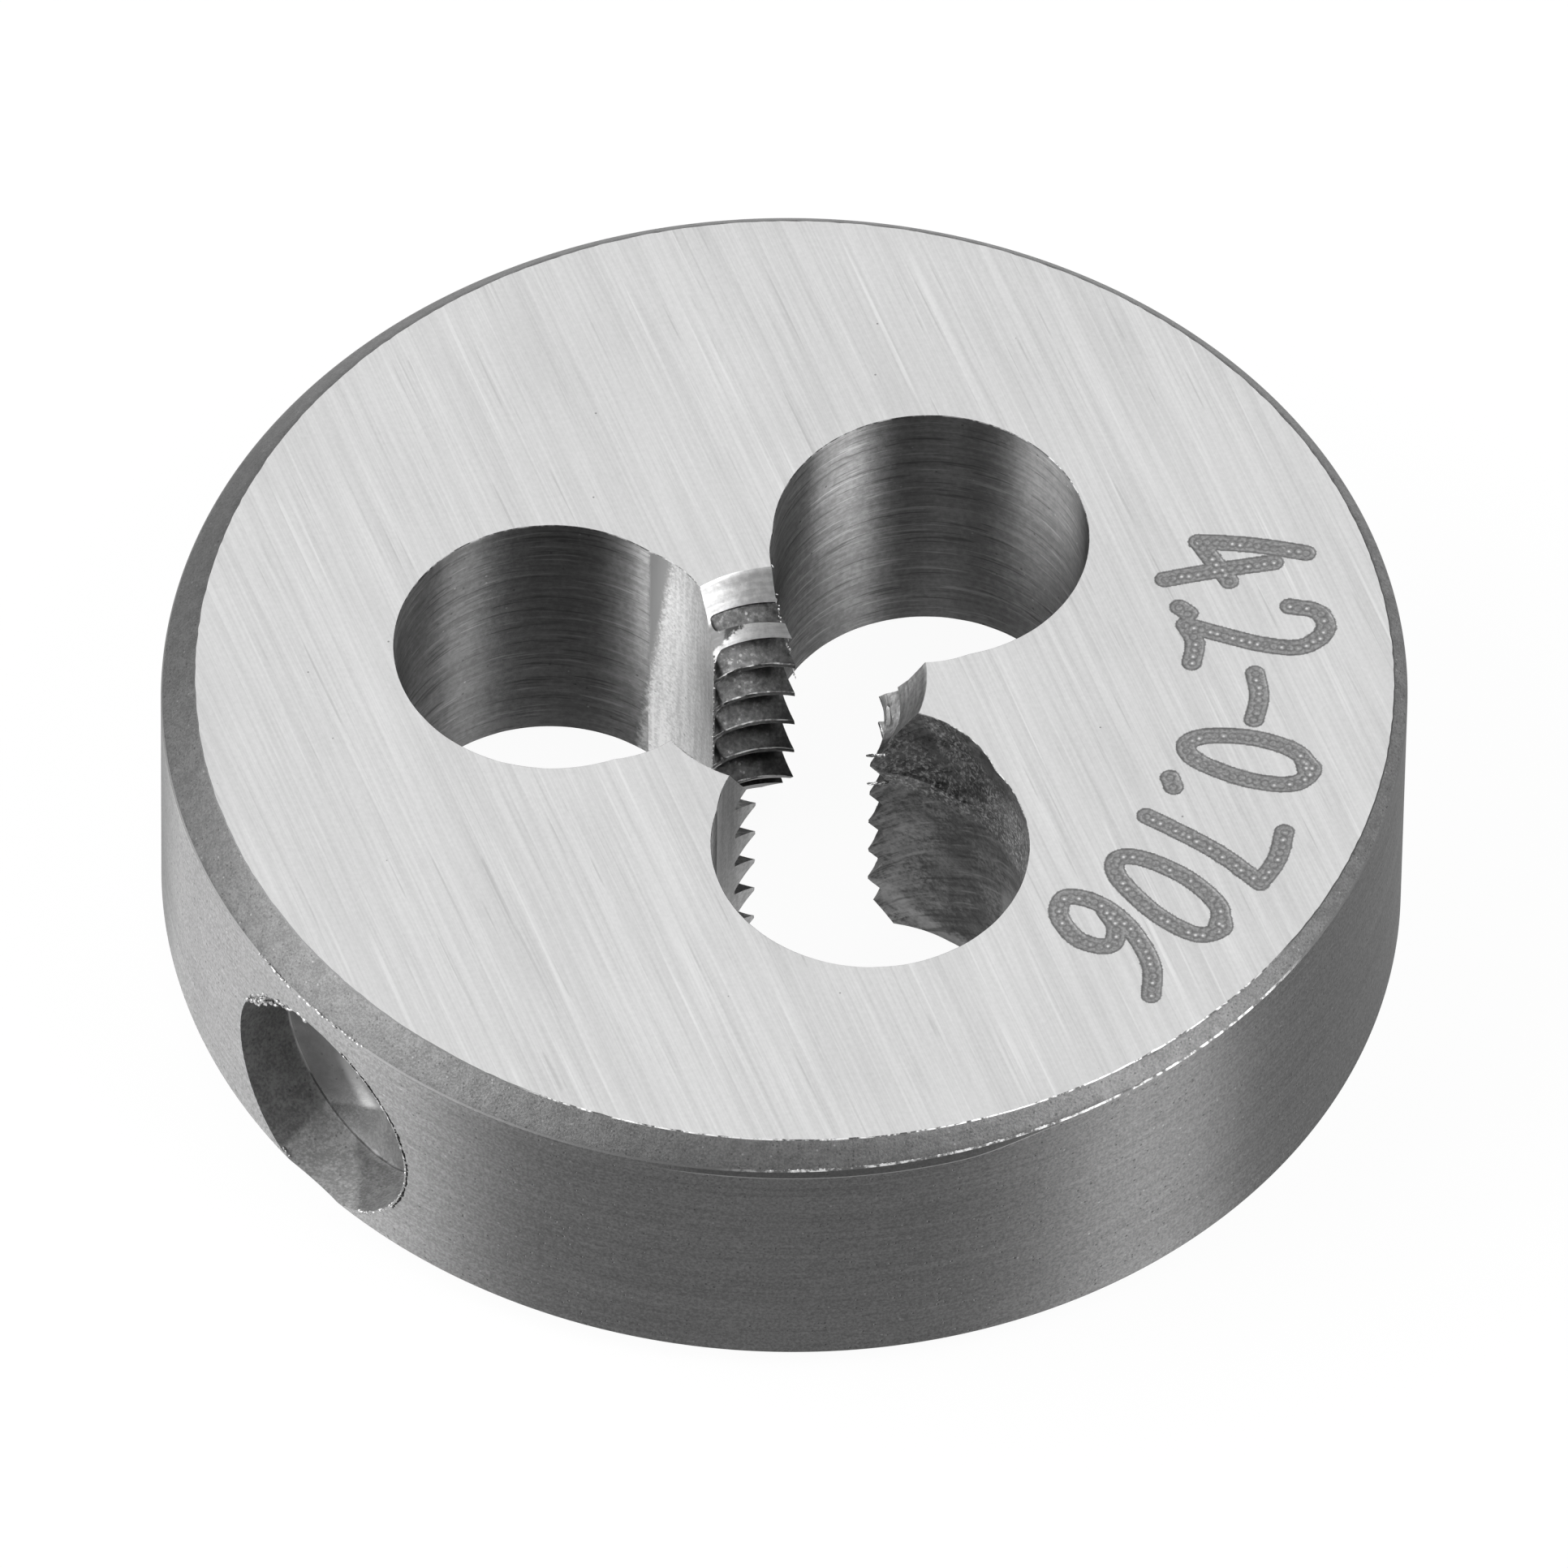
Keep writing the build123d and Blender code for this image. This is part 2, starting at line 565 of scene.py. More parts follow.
class ShaderWriter(NodeWriter):
    """Writes a finish's node tree. Lengths in it are millimetres on the object."""

    def __init__(self, material: bpy.types.Material) -> None:
        """Empties the material's tree and starts it with the object's coordinates.

        Args:
            material: the material to write.
        """
        material.use_nodes = True
        super().__init__(material.node_tree)
        self.tree.nodes.clear()
        coordinates = self.add("ShaderNodeTexCoord")
        in_mm = {"Vector": coordinates.outputs["Object"], "Scale": (1 / MM, 1 / MM, 1 / MM)}
        self.place = self.add("ShaderNodeMapping", in_mm).outputs["Vector"]
        self.axes = self.add("ShaderNodeSeparateXYZ", {"Vector": self.place})

    def axis(self, name: str) -> Socket:
        """One coordinate in millimetres."""
        return self.axes.outputs[name]

    def along(self, name: str, low: float, high: float, *ends: float, smooth: bool = True) -> Socket:
        """Passage along one coordinate.

        Args:
            name: the coordinate.
            low: where the passage starts.
            high: where it ends.
            ends: results at its start and end, 0 and 1 if left out.
            smooth: whether it eases in and out.

        Returns:
            The passage's value.
        """
        return self.ramp(self.axis(name), low, high, *ends, smooth=smooth)

    def noise(
        self, scale: tuple[float, float, float], turn: float = 0.0, detail: float = 2.0, rough: float = 0.5
    ) -> Socket:
        """Noise with about so many grains a millimetre along each axis.

        Args:
            scale: grains a millimetre along each axis.
            turn: angle of the noise's own axes about Z, in degrees.
            detail: number of finer layers.
            rough: how strong the finer layers are.

        Returns:
            The noise, around 0.5.
        """
        about_z = {"Vector": self.place, "Rotation": (0, 0, math.radians(turn))}
        return self.drawn_noise(about_z, scale, detail, rough)

    def drawn_noise(self, turned: dict, scale: tuple, detail: float, rough: float = 0.5) -> Socket:
        """Noise like the one above, on coordinates turned in any way.

        Args:
            turned: inputs of the node that turns the coordinates.
            scale: grains a millimetre along each turned axis.
            detail: number of finer layers.
            rough: how strong the finer layers are.

        Returns:
            The noise, around 0.5.
        """
        axes = self.add("ShaderNodeMapping", turned).outputs["Vector"]
        place = self.add("ShaderNodeMapping", {"Vector": axes, "Scale": scale}).outputs["Vector"]
        inputs = {"Vector": place, "Scale": 1.0, "Detail": detail, "Roughness": rough}
        return self.add("ShaderNodeTexNoise", inputs).outputs["Fac"]

    def grain(self, per_mm: float, detail: float = 2.0, rough: float = 0.5) -> Socket:
        """Noise that is the same in every direction."""
        return self.noise((per_mm, per_mm, per_mm), 0.0, detail, rough)

    def specks(self, per_mm: float, size: float, share: float) -> Socket:
        """Round specks, one a cell.

        Args:
            per_mm: cells in a millimetre.
            size: radius of a speck, as a share of a cell.
            share: share of the cells that have one.

        Returns:
            A socket that is 1 inside a speck and 0 outside.
        """
        place = self.add("ShaderNodeMapping", {"Vector": self.place, "Scale": (per_mm, per_mm, per_mm)})
        inputs = {"Vector": place.outputs["Vector"], "Scale": 1.0, "Randomness": 1.0}
        cells = self.add("ShaderNodeTexVoronoi", inputs, feature="F1")
        spread = self.add("ShaderNodeSeparateColor", {"Color": cells.outputs["Color"]})
        chosen = self.math("LESS_THAN", spread.outputs[0], share)
        return self.times(chosen, self.ramp(cells.outputs["Distance"], size * 0.5, size, 1.0, 0.0))

    def distance(self, line: SightLine) -> Socket:
        """Distance beyond a line of the photograph, in millimetres."""
        normal, offset = line.plane()
        dot = self.add("ShaderNodeVectorMath", {0: self.place, 1: normal.tolist()}, operation="DOT_PRODUCT")
        return self.math("SUBTRACT", dot.outputs["Value"], offset)

    def beyond(self, line: SightLine, soft: float) -> Socket:
        """1 beyond a line of the photograph and 0 before it, with a soft passage of twice that width."""
        return self.ramp(self.distance(line), -soft, soft)

    def within(self, value: object, low: float, high: float, soft: float) -> Socket:
        """1 where a value is between two bounds, falling to 0 outside them.

        Args:
            value: the value.
            low: lower bound.
            high: upper bound.
            soft: half the width of the passage at each bound.

        Returns:
            The share.
        """
        upper = self.ramp(value, high - soft, high + soft, 1.0, 0.0)
        return self.times(self.ramp(value, low - soft, low + soft), upper)

    def wander(self, noise: Socket, width: float) -> Socket:
        """Noise as a shift to either side, to make a border uneven."""
        return self.times(self.math("SUBTRACT", noise, 0.5), width)

    def blend(self, factor: object, first: object, second: object, kind: str = "MIX") -> Socket:
        """Mixes two colours or grey levels.

        Args:
            factor: share of the second one.
            first: the colour below.
            second: the colour above.
            kind: Blender's name for the way they mix.

        Returns:
            The mixed colour.
        """
        node = self.add("ShaderNodeMix", data_type="RGBA", blend_type=kind)
        self.feed(node.inputs[0], factor)
        for number, value in ((6, first), (7, second)):
            self.feed(node.inputs[number], (*grey(value), 1.0) if isinstance(value, float) else value)
        return node.outputs[2]

    def over(self, tone: Socket, level: float, mask: object, share: float = 1.0) -> Socket:
        """Lays a grey over a colour where a mask says.

        Args:
            tone: the colour below.
            level: the grey's level.
            mask: where it lies, from 0 to 1.
            share: how much of it covers.

        Returns:
            The colour with the grey over it.
        """
        return self.blend(mask if share == 1.0 else self.times(mask, share), tone, level)

    def gained(self, tone: Socket, gain: object) -> Socket:
        """Colour times a grey gain."""
        return self.blend(1.0, tone, gain, "MULTIPLY")

    def finish(self, look: "Finish", colour: Socket, normal: Socket, rough: Socket | None = None) -> None:
        """Closes the tree with the surface shader.

        Args:
            look: the finish that the material has.
            colour: its colour.
            normal: its normal with relief.
            rough: roughness that changes from place to place, if it does.
        """
        surface = self.add(
            "ShaderNodeBsdfPrincipled",
            {
                "Base Color": colour,
                "Metallic": look.metallic,
                "Roughness": look.roughness if rough is None else rough,
                "Normal": normal,
            },
        )
        if look.brushed > 0:
            surface.inputs["Anisotropic"].default_value = look.brushed
            across = self.add("ShaderNodeAttribute", attribute_name="across_lines")
            self.feed(surface.inputs["Tangent"], across.outputs["Vector"])
        self.add("ShaderNodeOutputMaterial", {"Surface": surface.outputs["BSDF"]})

    def bump(self, height: object, distance: float, strength: float = 1.0) -> Socket:
        """Normal with relief, whose full height is a distance in millimetres."""
        relief = {"Height": height, "Distance": distance * MM, "Strength": strength}
        return self.add("ShaderNodeBump", relief).outputs["Normal"]


@dataclass(frozen=True)
class GeometryTree:
    """Geometry Nodes tree with a geometry socket at both ends and named inputs.

    Attributes:
        tree: the tree.
        sockets: identifier of each input, by its name.
    """

    tree: bpy.types.NodeTree
    sockets: dict[str, str]

    @classmethod
    def named(cls, name: str, **kinds: str) -> "GeometryTree":
        """Makes a tree without nodes.

        Args:
            name: name of the tree.
            kinds: kind of each named input.

        Returns:
            The tree with its sockets.
        """
        tree = bpy.data.node_groups.new(name, "GeometryNodeTree")
        face = tree.interface
        face.new_socket("Geometry", in_out="INPUT", socket_type="NodeSocketGeometry")
        sockets = {}
        for label, kind in kinds.items():
            made = face.new_socket(label, in_out="INPUT", socket_type=f"NodeSocket{kind}")
            sockets[label] = made.identifier
        face.new_socket("Geometry", in_out="OUTPUT", socket_type="NodeSocketGeometry")
        return cls(tree, sockets)

    def run_on(self, thing: bpy.types.Object, name: str, **values: object) -> bpy.types.Object:
        """Runs the tree on an object.

        Args:
            thing: the object, which is removed afterwards.
            name: name of the result.
            values: value of each named input.

        Returns:
            The result as a plain mesh object.
        """
        modifier = thing.modifiers.new(self.tree.name, "NODES")
        modifier.node_group = self.tree
        for label, value in values.items():
            modifier[self.sockets[label]] = value
        return settle(thing, name)


def grey(level: float) -> tuple[float, float, float]:
    """Neutral colour of one linear level."""
    return (level, level, level)


# Finishes


@dataclass(frozen=True)
class Finish:
    """A steel surface as one tool leaves it.

    Attributes:
        dark: grey level in the hollows.
        light: grey level on the highs.
        metallic: share of metal in the shader.
        roughness: mean roughness.
        brushed: how far gloss is drawn out across the tool's lines.
    """

    dark: float
    light: float
    metallic: float = 1.0
    roughness: float = 0.4
    brushed: float = 0.0

    def material(self, name: str) -> bpy.types.Material:
        """Makes the material.

        Args:
            name: name of the material.

        Returns:
            The material.
        """
        made = bpy.data.materials.new(name)
        self.write(ShaderWriter(made))
        made.diffuse_color = (*grey((self.dark + self.light) / 2), 1.0)
        return made

    def tone(self, pen: ShaderWriter, height: Socket, low: float, high: float, smooth: bool = True) -> Socket:
        """Dark in the hollows and light on the highs.

        Args:
            pen: writer of the finish's nodes.
            height: how high each place is.
            low: height at which the tone is still dark.
            high: height from which it is light.
            smooth: whether it eases in and out.

        Returns:
            The colour.
        """
        return pen.blend(pen.ramp(height, low, high, smooth=smooth), self.dark, self.light)

    def write(self, pen: ShaderWriter) -> None:
        """Writes the nodes of the finish with the pen, which each kind of finish does in its own way."""
        raise NotImplementedError


@dataclass(frozen=True)
class GroundFace(Finish):
    """Flat face ground in one direction, with long fine lines and a few pin pits.

    Attributes:
        grain_angle: direction of the grinding lines, from +X.
    """

    grain_angle: float = -69.0

    def write(self, pen: ShaderWriter) -> None:
        """Writes the nodes.

        Args:
            pen: writer of the finish's nodes.
        """
        turn = -self.grain_angle
        fine = pen.noise((0.35, 30, 1), turn, 2.0, 0.6)
        middle = pen.noise((0.16, 8, 1), turn, 3.0, 0.55)
        broad = pen.noise((0.08, 1.3, 1), turn)
        cloud, paper = pen.grain(0.5), pen.grain(14, 2.0, 0.6)
        mixed = pen.weighted((fine, 0.30), (middle, 0.30), (broad, 0.14), (cloud, 0.08), (paper, 0.18))
        tone = self.tone(pen, mixed, 0.36, 0.64, smooth=False)
        bright = pen.ramp(pen.noise((0.14, 10, 1), turn + 0.6), 0.60, 0.72)
        patch = pen.ramp(pen.noise((0.35, 1.1, 1), turn, 1.0), 0.42, 0.62)
        tone = pen.over(tone, self.light * 1.16, pen.times(bright, patch), 0.45)
        scratch = pen.ramp(pen.noise((0.22, 13, 1), turn - 0.5, 1.0), 0.66, 0.73)
        worn = pen.ramp(pen.noise((0.9, 2.2, 1), turn, 1.0), 0.45, 0.60)
        tone = pen.over(tone, self.dark * 0.62, pen.times(scratch, worn), 0.32)
        tone = pen.over(tone, 0.16, pen.specks(2.2, 0.050, 0.22), 0.75)
        rough = pen.ramp(middle, 0.3, 0.7, self.roughness - 0.03, self.roughness + 0.04)
        pen.finish(self, tone, pen.bump(mixed, 0.002, 0.3), rough)


@dataclass(frozen=True)
class BlastedChamfer(Finish):
    """Grit-blasted edge, mottled, with bright specks and dark pits."""

    def write(self, pen: ShaderWriter) -> None:
        """Writes the nodes.

        Args:
            pen: writer of the finish's nodes.
        """
        mixed = pen.weighted((pen.grain(4.5, 3.0, 0.55), 0.32), (pen.grain(26, 3.0, 0.65), 0.68))
        tone = self.tone(pen, mixed, 0.34, 0.68)
        tone = pen.over(tone, self.light * 1.9, pen.specks(11.0, 0.26, 0.10), 0.5)
        pits = pen.math("MAXIMUM", pen.specks(7.0, 0.22, 0.05), pen.specks(15.0, 0.34, 0.26))
        tone = pen.over(tone, self.dark * 0.35, pits, 0.55)
        # Painted light: darker to the left and lighter to the right, darker again at the far left.
        tone = pen.gained(tone, pen.along("X", -8.5, 7.5, 0.74, 1.28, smooth=False))
        tone = pen.gained(tone, pen.along("X", -9.3, -7.6, 0.80, 1.0))
        pen.finish(self, tone, pen.bump(mixed, 0.012, 0.6))


@dataclass(frozen=True)
class TurnedRim(Finish):
    """Rim with fine turned lines and a blasted grain over them, painted lighter to the left as painted light,
    and a narrow ledge in front with painted shade above a painted highlight line.

    Attributes:
        ledge: X of both ends of the ledge.
        ledge_height: height of the ledge's lower line on the left.
        ledge_end_height: its height on the right, where it bends up.
    """

    ledge: tuple[float, float] = (-1.6, 4.3)
    ledge_height: float = 4.78
    ledge_end_height: float = 4.96

    def write(self, pen: ShaderWriter) -> None:
        """Writes the nodes.

        Args:
            pen: writer of the finish's nodes.
        """
        lines = pen.noise((0.22, 0.22, 11), 0.0, 3.0, 0.65)
        fine = pen.noise((0.8, 0.8, 34), 0.0, 2.0, 0.6)
        cloud = pen.noise((0.35, 0.35, 0.6))
        mixed = pen.weighted((lines, 0.42), (fine, 0.20), (pen.grain(14, 2.0, 0.6), 0.26), (cloud, 0.12))
        tone = self.tone(pen, mixed, 0.36, 0.66, smooth=False)
        tone = pen.gained(tone, pen.ramp(pen.grain(20, 3.0, 0.7), 0.34, 0.66, 0.80, 1.20))
        # Painted light: lighter to the left, darker to the right, brightest at the far left.
        tone = pen.gained(tone, pen.along("X", -9.2, 5.0, 1.12, 0.90, smooth=False))
        tone = pen.gained(tone, pen.along("X", -9.85, -9.3, 1.40, 1.0))
        tone = pen.over(tone, self.light * 1.9, pen.specks(7.0, 0.18, 0.10), 0.5)
        pits = pen.math("MAXIMUM", pen.specks(5.0, 0.14, 0.16), pen.specks(10.0, 0.24, 0.22))
        tone = pen.over(tone, self.dark * 0.4, pits, 0.65)
        front = pen.times(pen.within(pen.axis("X"), *self.ledge, 0.5), pen.along("Y", -6.0, -7.0))
        bend = pen.along("X", 2.9, 4.6, self.ledge_height, self.ledge_end_height)
        above = pen.math("ADD", pen.math("SUBTRACT", pen.axis("Z"), bend), pen.wander(cloud, 0.05))
        # Painted shade on the ledge above its lower line.
        tone = pen.over(tone, self.dark * 0.5, pen.times(pen.ramp(above, 0.0, 0.02), front), 0.6)
        # Painted highlight: a thin bright line along the ledge's lower edge.
        line = pen.times(pen.within(above, -0.010, 0.004, 0.006), front)
        tone = pen.over(tone, self.light * 2.4, line, 0.7)
        pen.finish(self, tone, pen.bump(pen.math("SUBTRACT", mixed, pits), 0.010, 0.5))


@dataclass(frozen=True)
class ChipHoleWall(Finish):
    """Wall of a chip hole: drilled, with upright lighter and darker bands of painted reflection.

    Attributes:
        bands: (middle X, half width, gain) of each band of painted reflection.
    """

    bands: tuple[tuple[float, float, float], ...] = (
        (-6.00, 0.35, 0.70),
        (-2.50, 0.50, 0.60),
        (-2.10, 0.30, 0.80),
        (0.25, 0.50, 1.15),
        (1.15, 0.58, 1.35),
        (2.40, 0.50, 0.45),
        (4.10, 0.42, 0.25),
        (4.85, 0.24, -0.45),
    )

    def write(self, pen: ShaderWriter) -> None:
        """Writes the nodes.

        Args:
            pen: writer of the finish's nodes.
        """
        rings = pen.noise((0.5, 0.5, 9), 0.0, 3.0, 0.7)
        upright = pen.noise((5, 5, 0.35))
        grain = pen.grain(10, 3.0, 0.65)
        mixed = pen.weighted((rings, 0.46), (upright, 0.10), (grain, 0.44))
        tone = self.tone(pen, mixed, 0.38, 0.64)
        gash = pen.noise((0.8, 0.8, 17), 0.0, 3.0, 0.6)
        tone = pen.over(tone, self.light * 1.5, pen.ramp(gash, 0.58, 0.68, 0.0, 0.6))
        tone = pen.over(tone, self.dark * 0.5, pen.ramp(gash, 0.42, 0.33, 0.0, 0.7))
        # Upright bands of painted reflection, each a gain along X.
        place = pen.math("ADD", pen.axis("X"), pen.wander(rings, 0.25))
        gain = 1.0
        for middle, half, reflection_gain in self.bands:
            gain = pen.math("ADD", gain, pen.ramp(pen.away(place, middle), 0.0, half * 1.5, reflection_gain, 0.0))
        tone = pen.gained(tone, gain)
        tone = pen.over(tone, self.light * 2.2, pen.specks(6.0, 0.15, 0.10), 0.5)
        tone = pen.over(tone, self.dark * 0.4, pen.specks(5.0, 0.16, 0.12), 0.6)
        strip = pen.times(RakeFace.bright_part(pen, grain), pen.along("X", -1.0, -1.2))
        tone = pen.blend(strip, tone, pen.blend(pen.ramp(grain, 0.36, 0.64), 0.52, 0.78))
        pen.finish(self, tone, pen.bump(mixed, 0.012, 0.6))


@dataclass(frozen=True)
class TornWall(Finish):
    """Wall torn by a worn wheel: dark and mottled, with slanting scratches and bright flecks.

    Attributes:
        scratch_lean: lean of the scratches, in degrees.
    """

    scratch_lean: float = 38.0

    BAND = SightLine((1197, 945), (1257, 1032), (1280, 960))
    DOTS = SightLine((1110, 900), (1170, 950), (1120, 960))
    LOW_EDGE = SightLine((1130, 1125), (1172, 1155), (1150, 1180))

    def write(self, pen: ShaderWriter) -> None:
        """Writes the nodes.

        Args:
            pen: writer of the finish's nodes.
        """
        mottle = pen.grain(1.9, 4.0, 0.7)
        grain = pen.grain(13, 3.0, 0.65)
        leaning = {"Vector": pen.place, "Rotation": (0, math.radians(self.scratch_lean), 0)}
        scratch = pen.drawn_noise(leaning, (1.1, 1.1, 12), 3.0)
        mixed = pen.weighted((mottle, 0.42), (grain, 0.30), (scratch, 0.28))
        tone = self.tone(pen, mixed, 0.38, 0.64)
        wander = pen.wander(mottle, 0.5)
        across = pen.math("ADD", pen.distance(self.BAND), wander)
        band = pen.times(pen.within(across, -0.20, 0.16, 0.08), pen.along("Z", 1.9, 2.6))
        dots = pen.times(pen.beyond(self.DOTS, 0.2), pen.along("Z", 3.4, 3.9))
        flecks = pen.times(pen.ramp(pen.grain(15, 4.0, 0.7), 0.46, 0.66), 0.8)
        tone = pen.over(tone, self.light * 3.8, pen.times(pen.math("MAXIMUM", band, dots), flecks))
        tone = pen.gained(tone, pen.along("X", 2.3, 3.0, 1.0, 0.66, smooth=False))
        tone = pen.gained(tone, pen.along("X", 3.56, 3.66, 1.0, 1.6))
        blotch = pen.times(pen.ramp(pen.grain(1.5, 3.0, 0.6), 0.44, 0.66), pen.ramp(grain, 0.36, 0.66))
        tone = pen.over(tone, self.light * 2.0, blotch, 0.38)
        near = pen.times(pen.along("X", 1.7, 2.7, 0.40, 0.0), pen.ramp(mixed, 0.36, 0.62))
        tone = pen.over(tone, self.light * 2.0, near)
        low = pen.math("ADD", pen.distance(self.LOW_EDGE), wander)
        tone = pen.over(tone, self.light * 2.6, pen.within(low, -0.06, 0.10, 0.08), 0.4)
        strip = pen.times(pen.along("X", 3.50, 3.60), pen.along("Z", 2.9, 2.4))
        tone = pen.over(tone, self.light * 1.7, strip, 0.55)
        tone = pen.over(tone, self.light * 2.2, pen.ramp(scratch, 0.60, 0.70), 0.22)
        pits = pen.math("MAXIMUM", pen.specks(9.0, 0.26, 0.12), pen.ramp(scratch, 0.44, 0.30))
        tone = pen.over(tone, self.dark * 0.4, pits, 0.5)
        pen.finish(self, tone, pen.bump(mixed, 0.03, 0.8))


@dataclass(frozen=True)
class RakeFace(Finish):
    """Bright face left by the small rake wheel, duller where the wheel only brushed the wall."""

    @staticmethod
    def bright_part(pen: ShaderWriter, grain: Socket, start: float = -2.37, lean: float = 0.104) -> Socket:
        """Where the left hole's wall was burnished bright.

        Args:
            pen: writer of the finish's nodes.
            grain: noise that makes the border uneven.
            start: X of the border at the unmarked face.
            lean: how far the border leans towards +X for each millimetre of height.

        Returns:
            A socket that is 1 in the bright part and 0 outside.
        """
        reach = pen.math("SUBTRACT", pen.axis("X"), pen.times(pen.axis("Z"), lean))
        reach = pen.math("ADD", reach, pen.wander(grain, 0.22))
        return pen.ramp(reach, start - 0.09, start + 0.07)

    def write(self, pen: ShaderWriter) -> None:
        """Writes the nodes.

        Args:
            pen: writer of the finish's nodes.
        """
        grain = pen.grain(16, 3.0, 0.65)
        mixed = pen.weighted((grain, 0.65), (pen.noise((11, 11, 0.7)), 0.35))
        # Painted shading: lighter to the left of the face and darker to the right.
        near = pen.along("X", -1.95, -1.30, 1.26, 0.72, smooth=False)
        near = pen.times(near, pen.along("X", -1.12, -1.05, 1.0, 0.86))
        tone = pen.gained(self.tone(pen, mixed, 0.36, 0.64), near)
        tone = pen.blend(self.bright_part(pen, grain), self.dark * 0.72, tone)
        pits = pen.math("MAXIMUM", pen.specks(5.0, 0.16, 0.16), pen.specks(13.0, 0.30, 0.10))
        tone = pen.over(tone, self.dark * 0.4, pits, 0.45)
        pen.finish(self, tone, pen.bump(mixed, 0.006, 0.5))


@dataclass(frozen=True)
class LeadInCone(Finish):
    """Cone cut by a countersink that chattered: bright on one land, speckled and dull on the right one."""

    MISSED = SightLine((893, 789), (927, 761), (950, 790))

    def write(self, pen: ShaderWriter) -> None:
        """Writes the nodes.

        Args:
            pen: writer of the finish's nodes.
        """
        grain = pen.grain(9, 3.0, 0.65)
        mixed = pen.weighted((grain, 0.55), (pen.noise((1.2, 1.2, 16)), 0.45))
        tone = self.tone(pen, mixed, 0.36, 0.64)
        wander = pen.wander(grain, 0.25)
        lens = pen.math("ADD", pen.distance(self.MISSED), wander)
        missed = pen.times(pen.ramp(lens, 0.03, -0.03), pen.along("Z", 4.75, 4.65))
        corner = pen.ramp(pen.math("ADD", pen.axis("X"), wander), -1.02, -0.94, 0.30, 0.10)
        tone = pen.blend(missed, tone, corner)
        speckled = pen.blend(pen.ramp(mixed, 0.36, 0.66), self.dark * 0.34, self.light * 0.48)
        tone = pen.blend(pen.along("X", 0.3, 0.7), tone, speckled)
        tone = pen.gained(tone, pen.along("Z", 1.6, 2.0, 0.16, 1.0))
        pen.finish(self, tone, pen.bump(mixed, 0.010, 0.6))


@dataclass(frozen=True)
class ThreadSteel(Finish):
    """Thread flanks or crests, torn by the tap: dark with light speckles."""

    def write(self, pen: ShaderWriter) -> None:
        """Writes the nodes.

        Args:
            pen: writer of the finish's nodes.
        """
        grain = pen.grain(12, 3.0, 0.65)
        cloud = pen.grain(2.2)
        mixed = pen.weighted((grain, 0.6), (cloud, 0.4))
        tone = self.tone(pen, mixed, 0.36, 0.64)
        flecks = pen.math("MAXIMUM", pen.specks(11.0, 0.36, 0.30), pen.ramp(grain, 0.58, 0.70))
        flecks = pen.times(flecks, pen.ramp(cloud, 0.42, 0.6))
        # Light flecks, denser to the left: torn steel, and painted glints on the lit side.
        tone = pen.over(tone, self.light * 2.4, pen.times(flecks, pen.along("X", -0.2, -0.8, 0.25, 0.8)))
        # Painted light and shade: lighter to the left, on the right land and towards the front, darker deeper
        # down.
        share = pen.times(pen.along("X", -0.9, 0.1, 1.25, 0.85), pen.along("Z", 1.2, 3.6, 0.7, 1.1))
        share = pen.math("ADD", share, pen.times(pen.along("X", 0.9, 1.2), 0.6))
        tone = pen.gained(tone, pen.times(share, pen.along("Y", -0.6, -1.1, 1.0, 2.6)))
        pen.finish(self, tone, pen.bump(mixed, 0.014, 0.6))


@dataclass(frozen=True)
class EdgeWearAndHighlight(Finish):
    """Narrow edge, bright as worn metal and as a painted highlight where it catches the light, dark where
    chipped.

    Attributes:
        highlight_from_x: X beyond which the edge is bright with wear and painted highlight, towards +X.
        highlight_to_y: Y beyond which it is bright with wear and painted highlight, towards -Y.
        passage: half the length over which the wear and painted highlight set in.
    """

    highlight_from_x: float = -99.0
    highlight_to_y: float = 99.0
    passage: float = 0.8

    def write(self, pen: ShaderWriter) -> None:
        """Writes the nodes.

        Args:
            pen: writer of the finish's nodes.
        """
        chips = pen.grain(5, 3.0, 0.7)
        # Wear and a painted highlight: bright beyond both bounds, where the chips noise is high.
        worn = pen.along("X", self.highlight_from_x - self.passage, self.highlight_from_x + self.passage)
        worn = pen.times(worn, pen.ramp(chips, 0.42, 0.58))
        worn = pen.times(worn, pen.along("Y", self.highlight_to_y - self.passage, self.highlight_to_y + self.passage, 1.0, 0.0))
        tone = pen.blend(worn, self.dark, self.light)
        pen.finish(self, tone, pen.bump(chips, 0.010, 0.6))


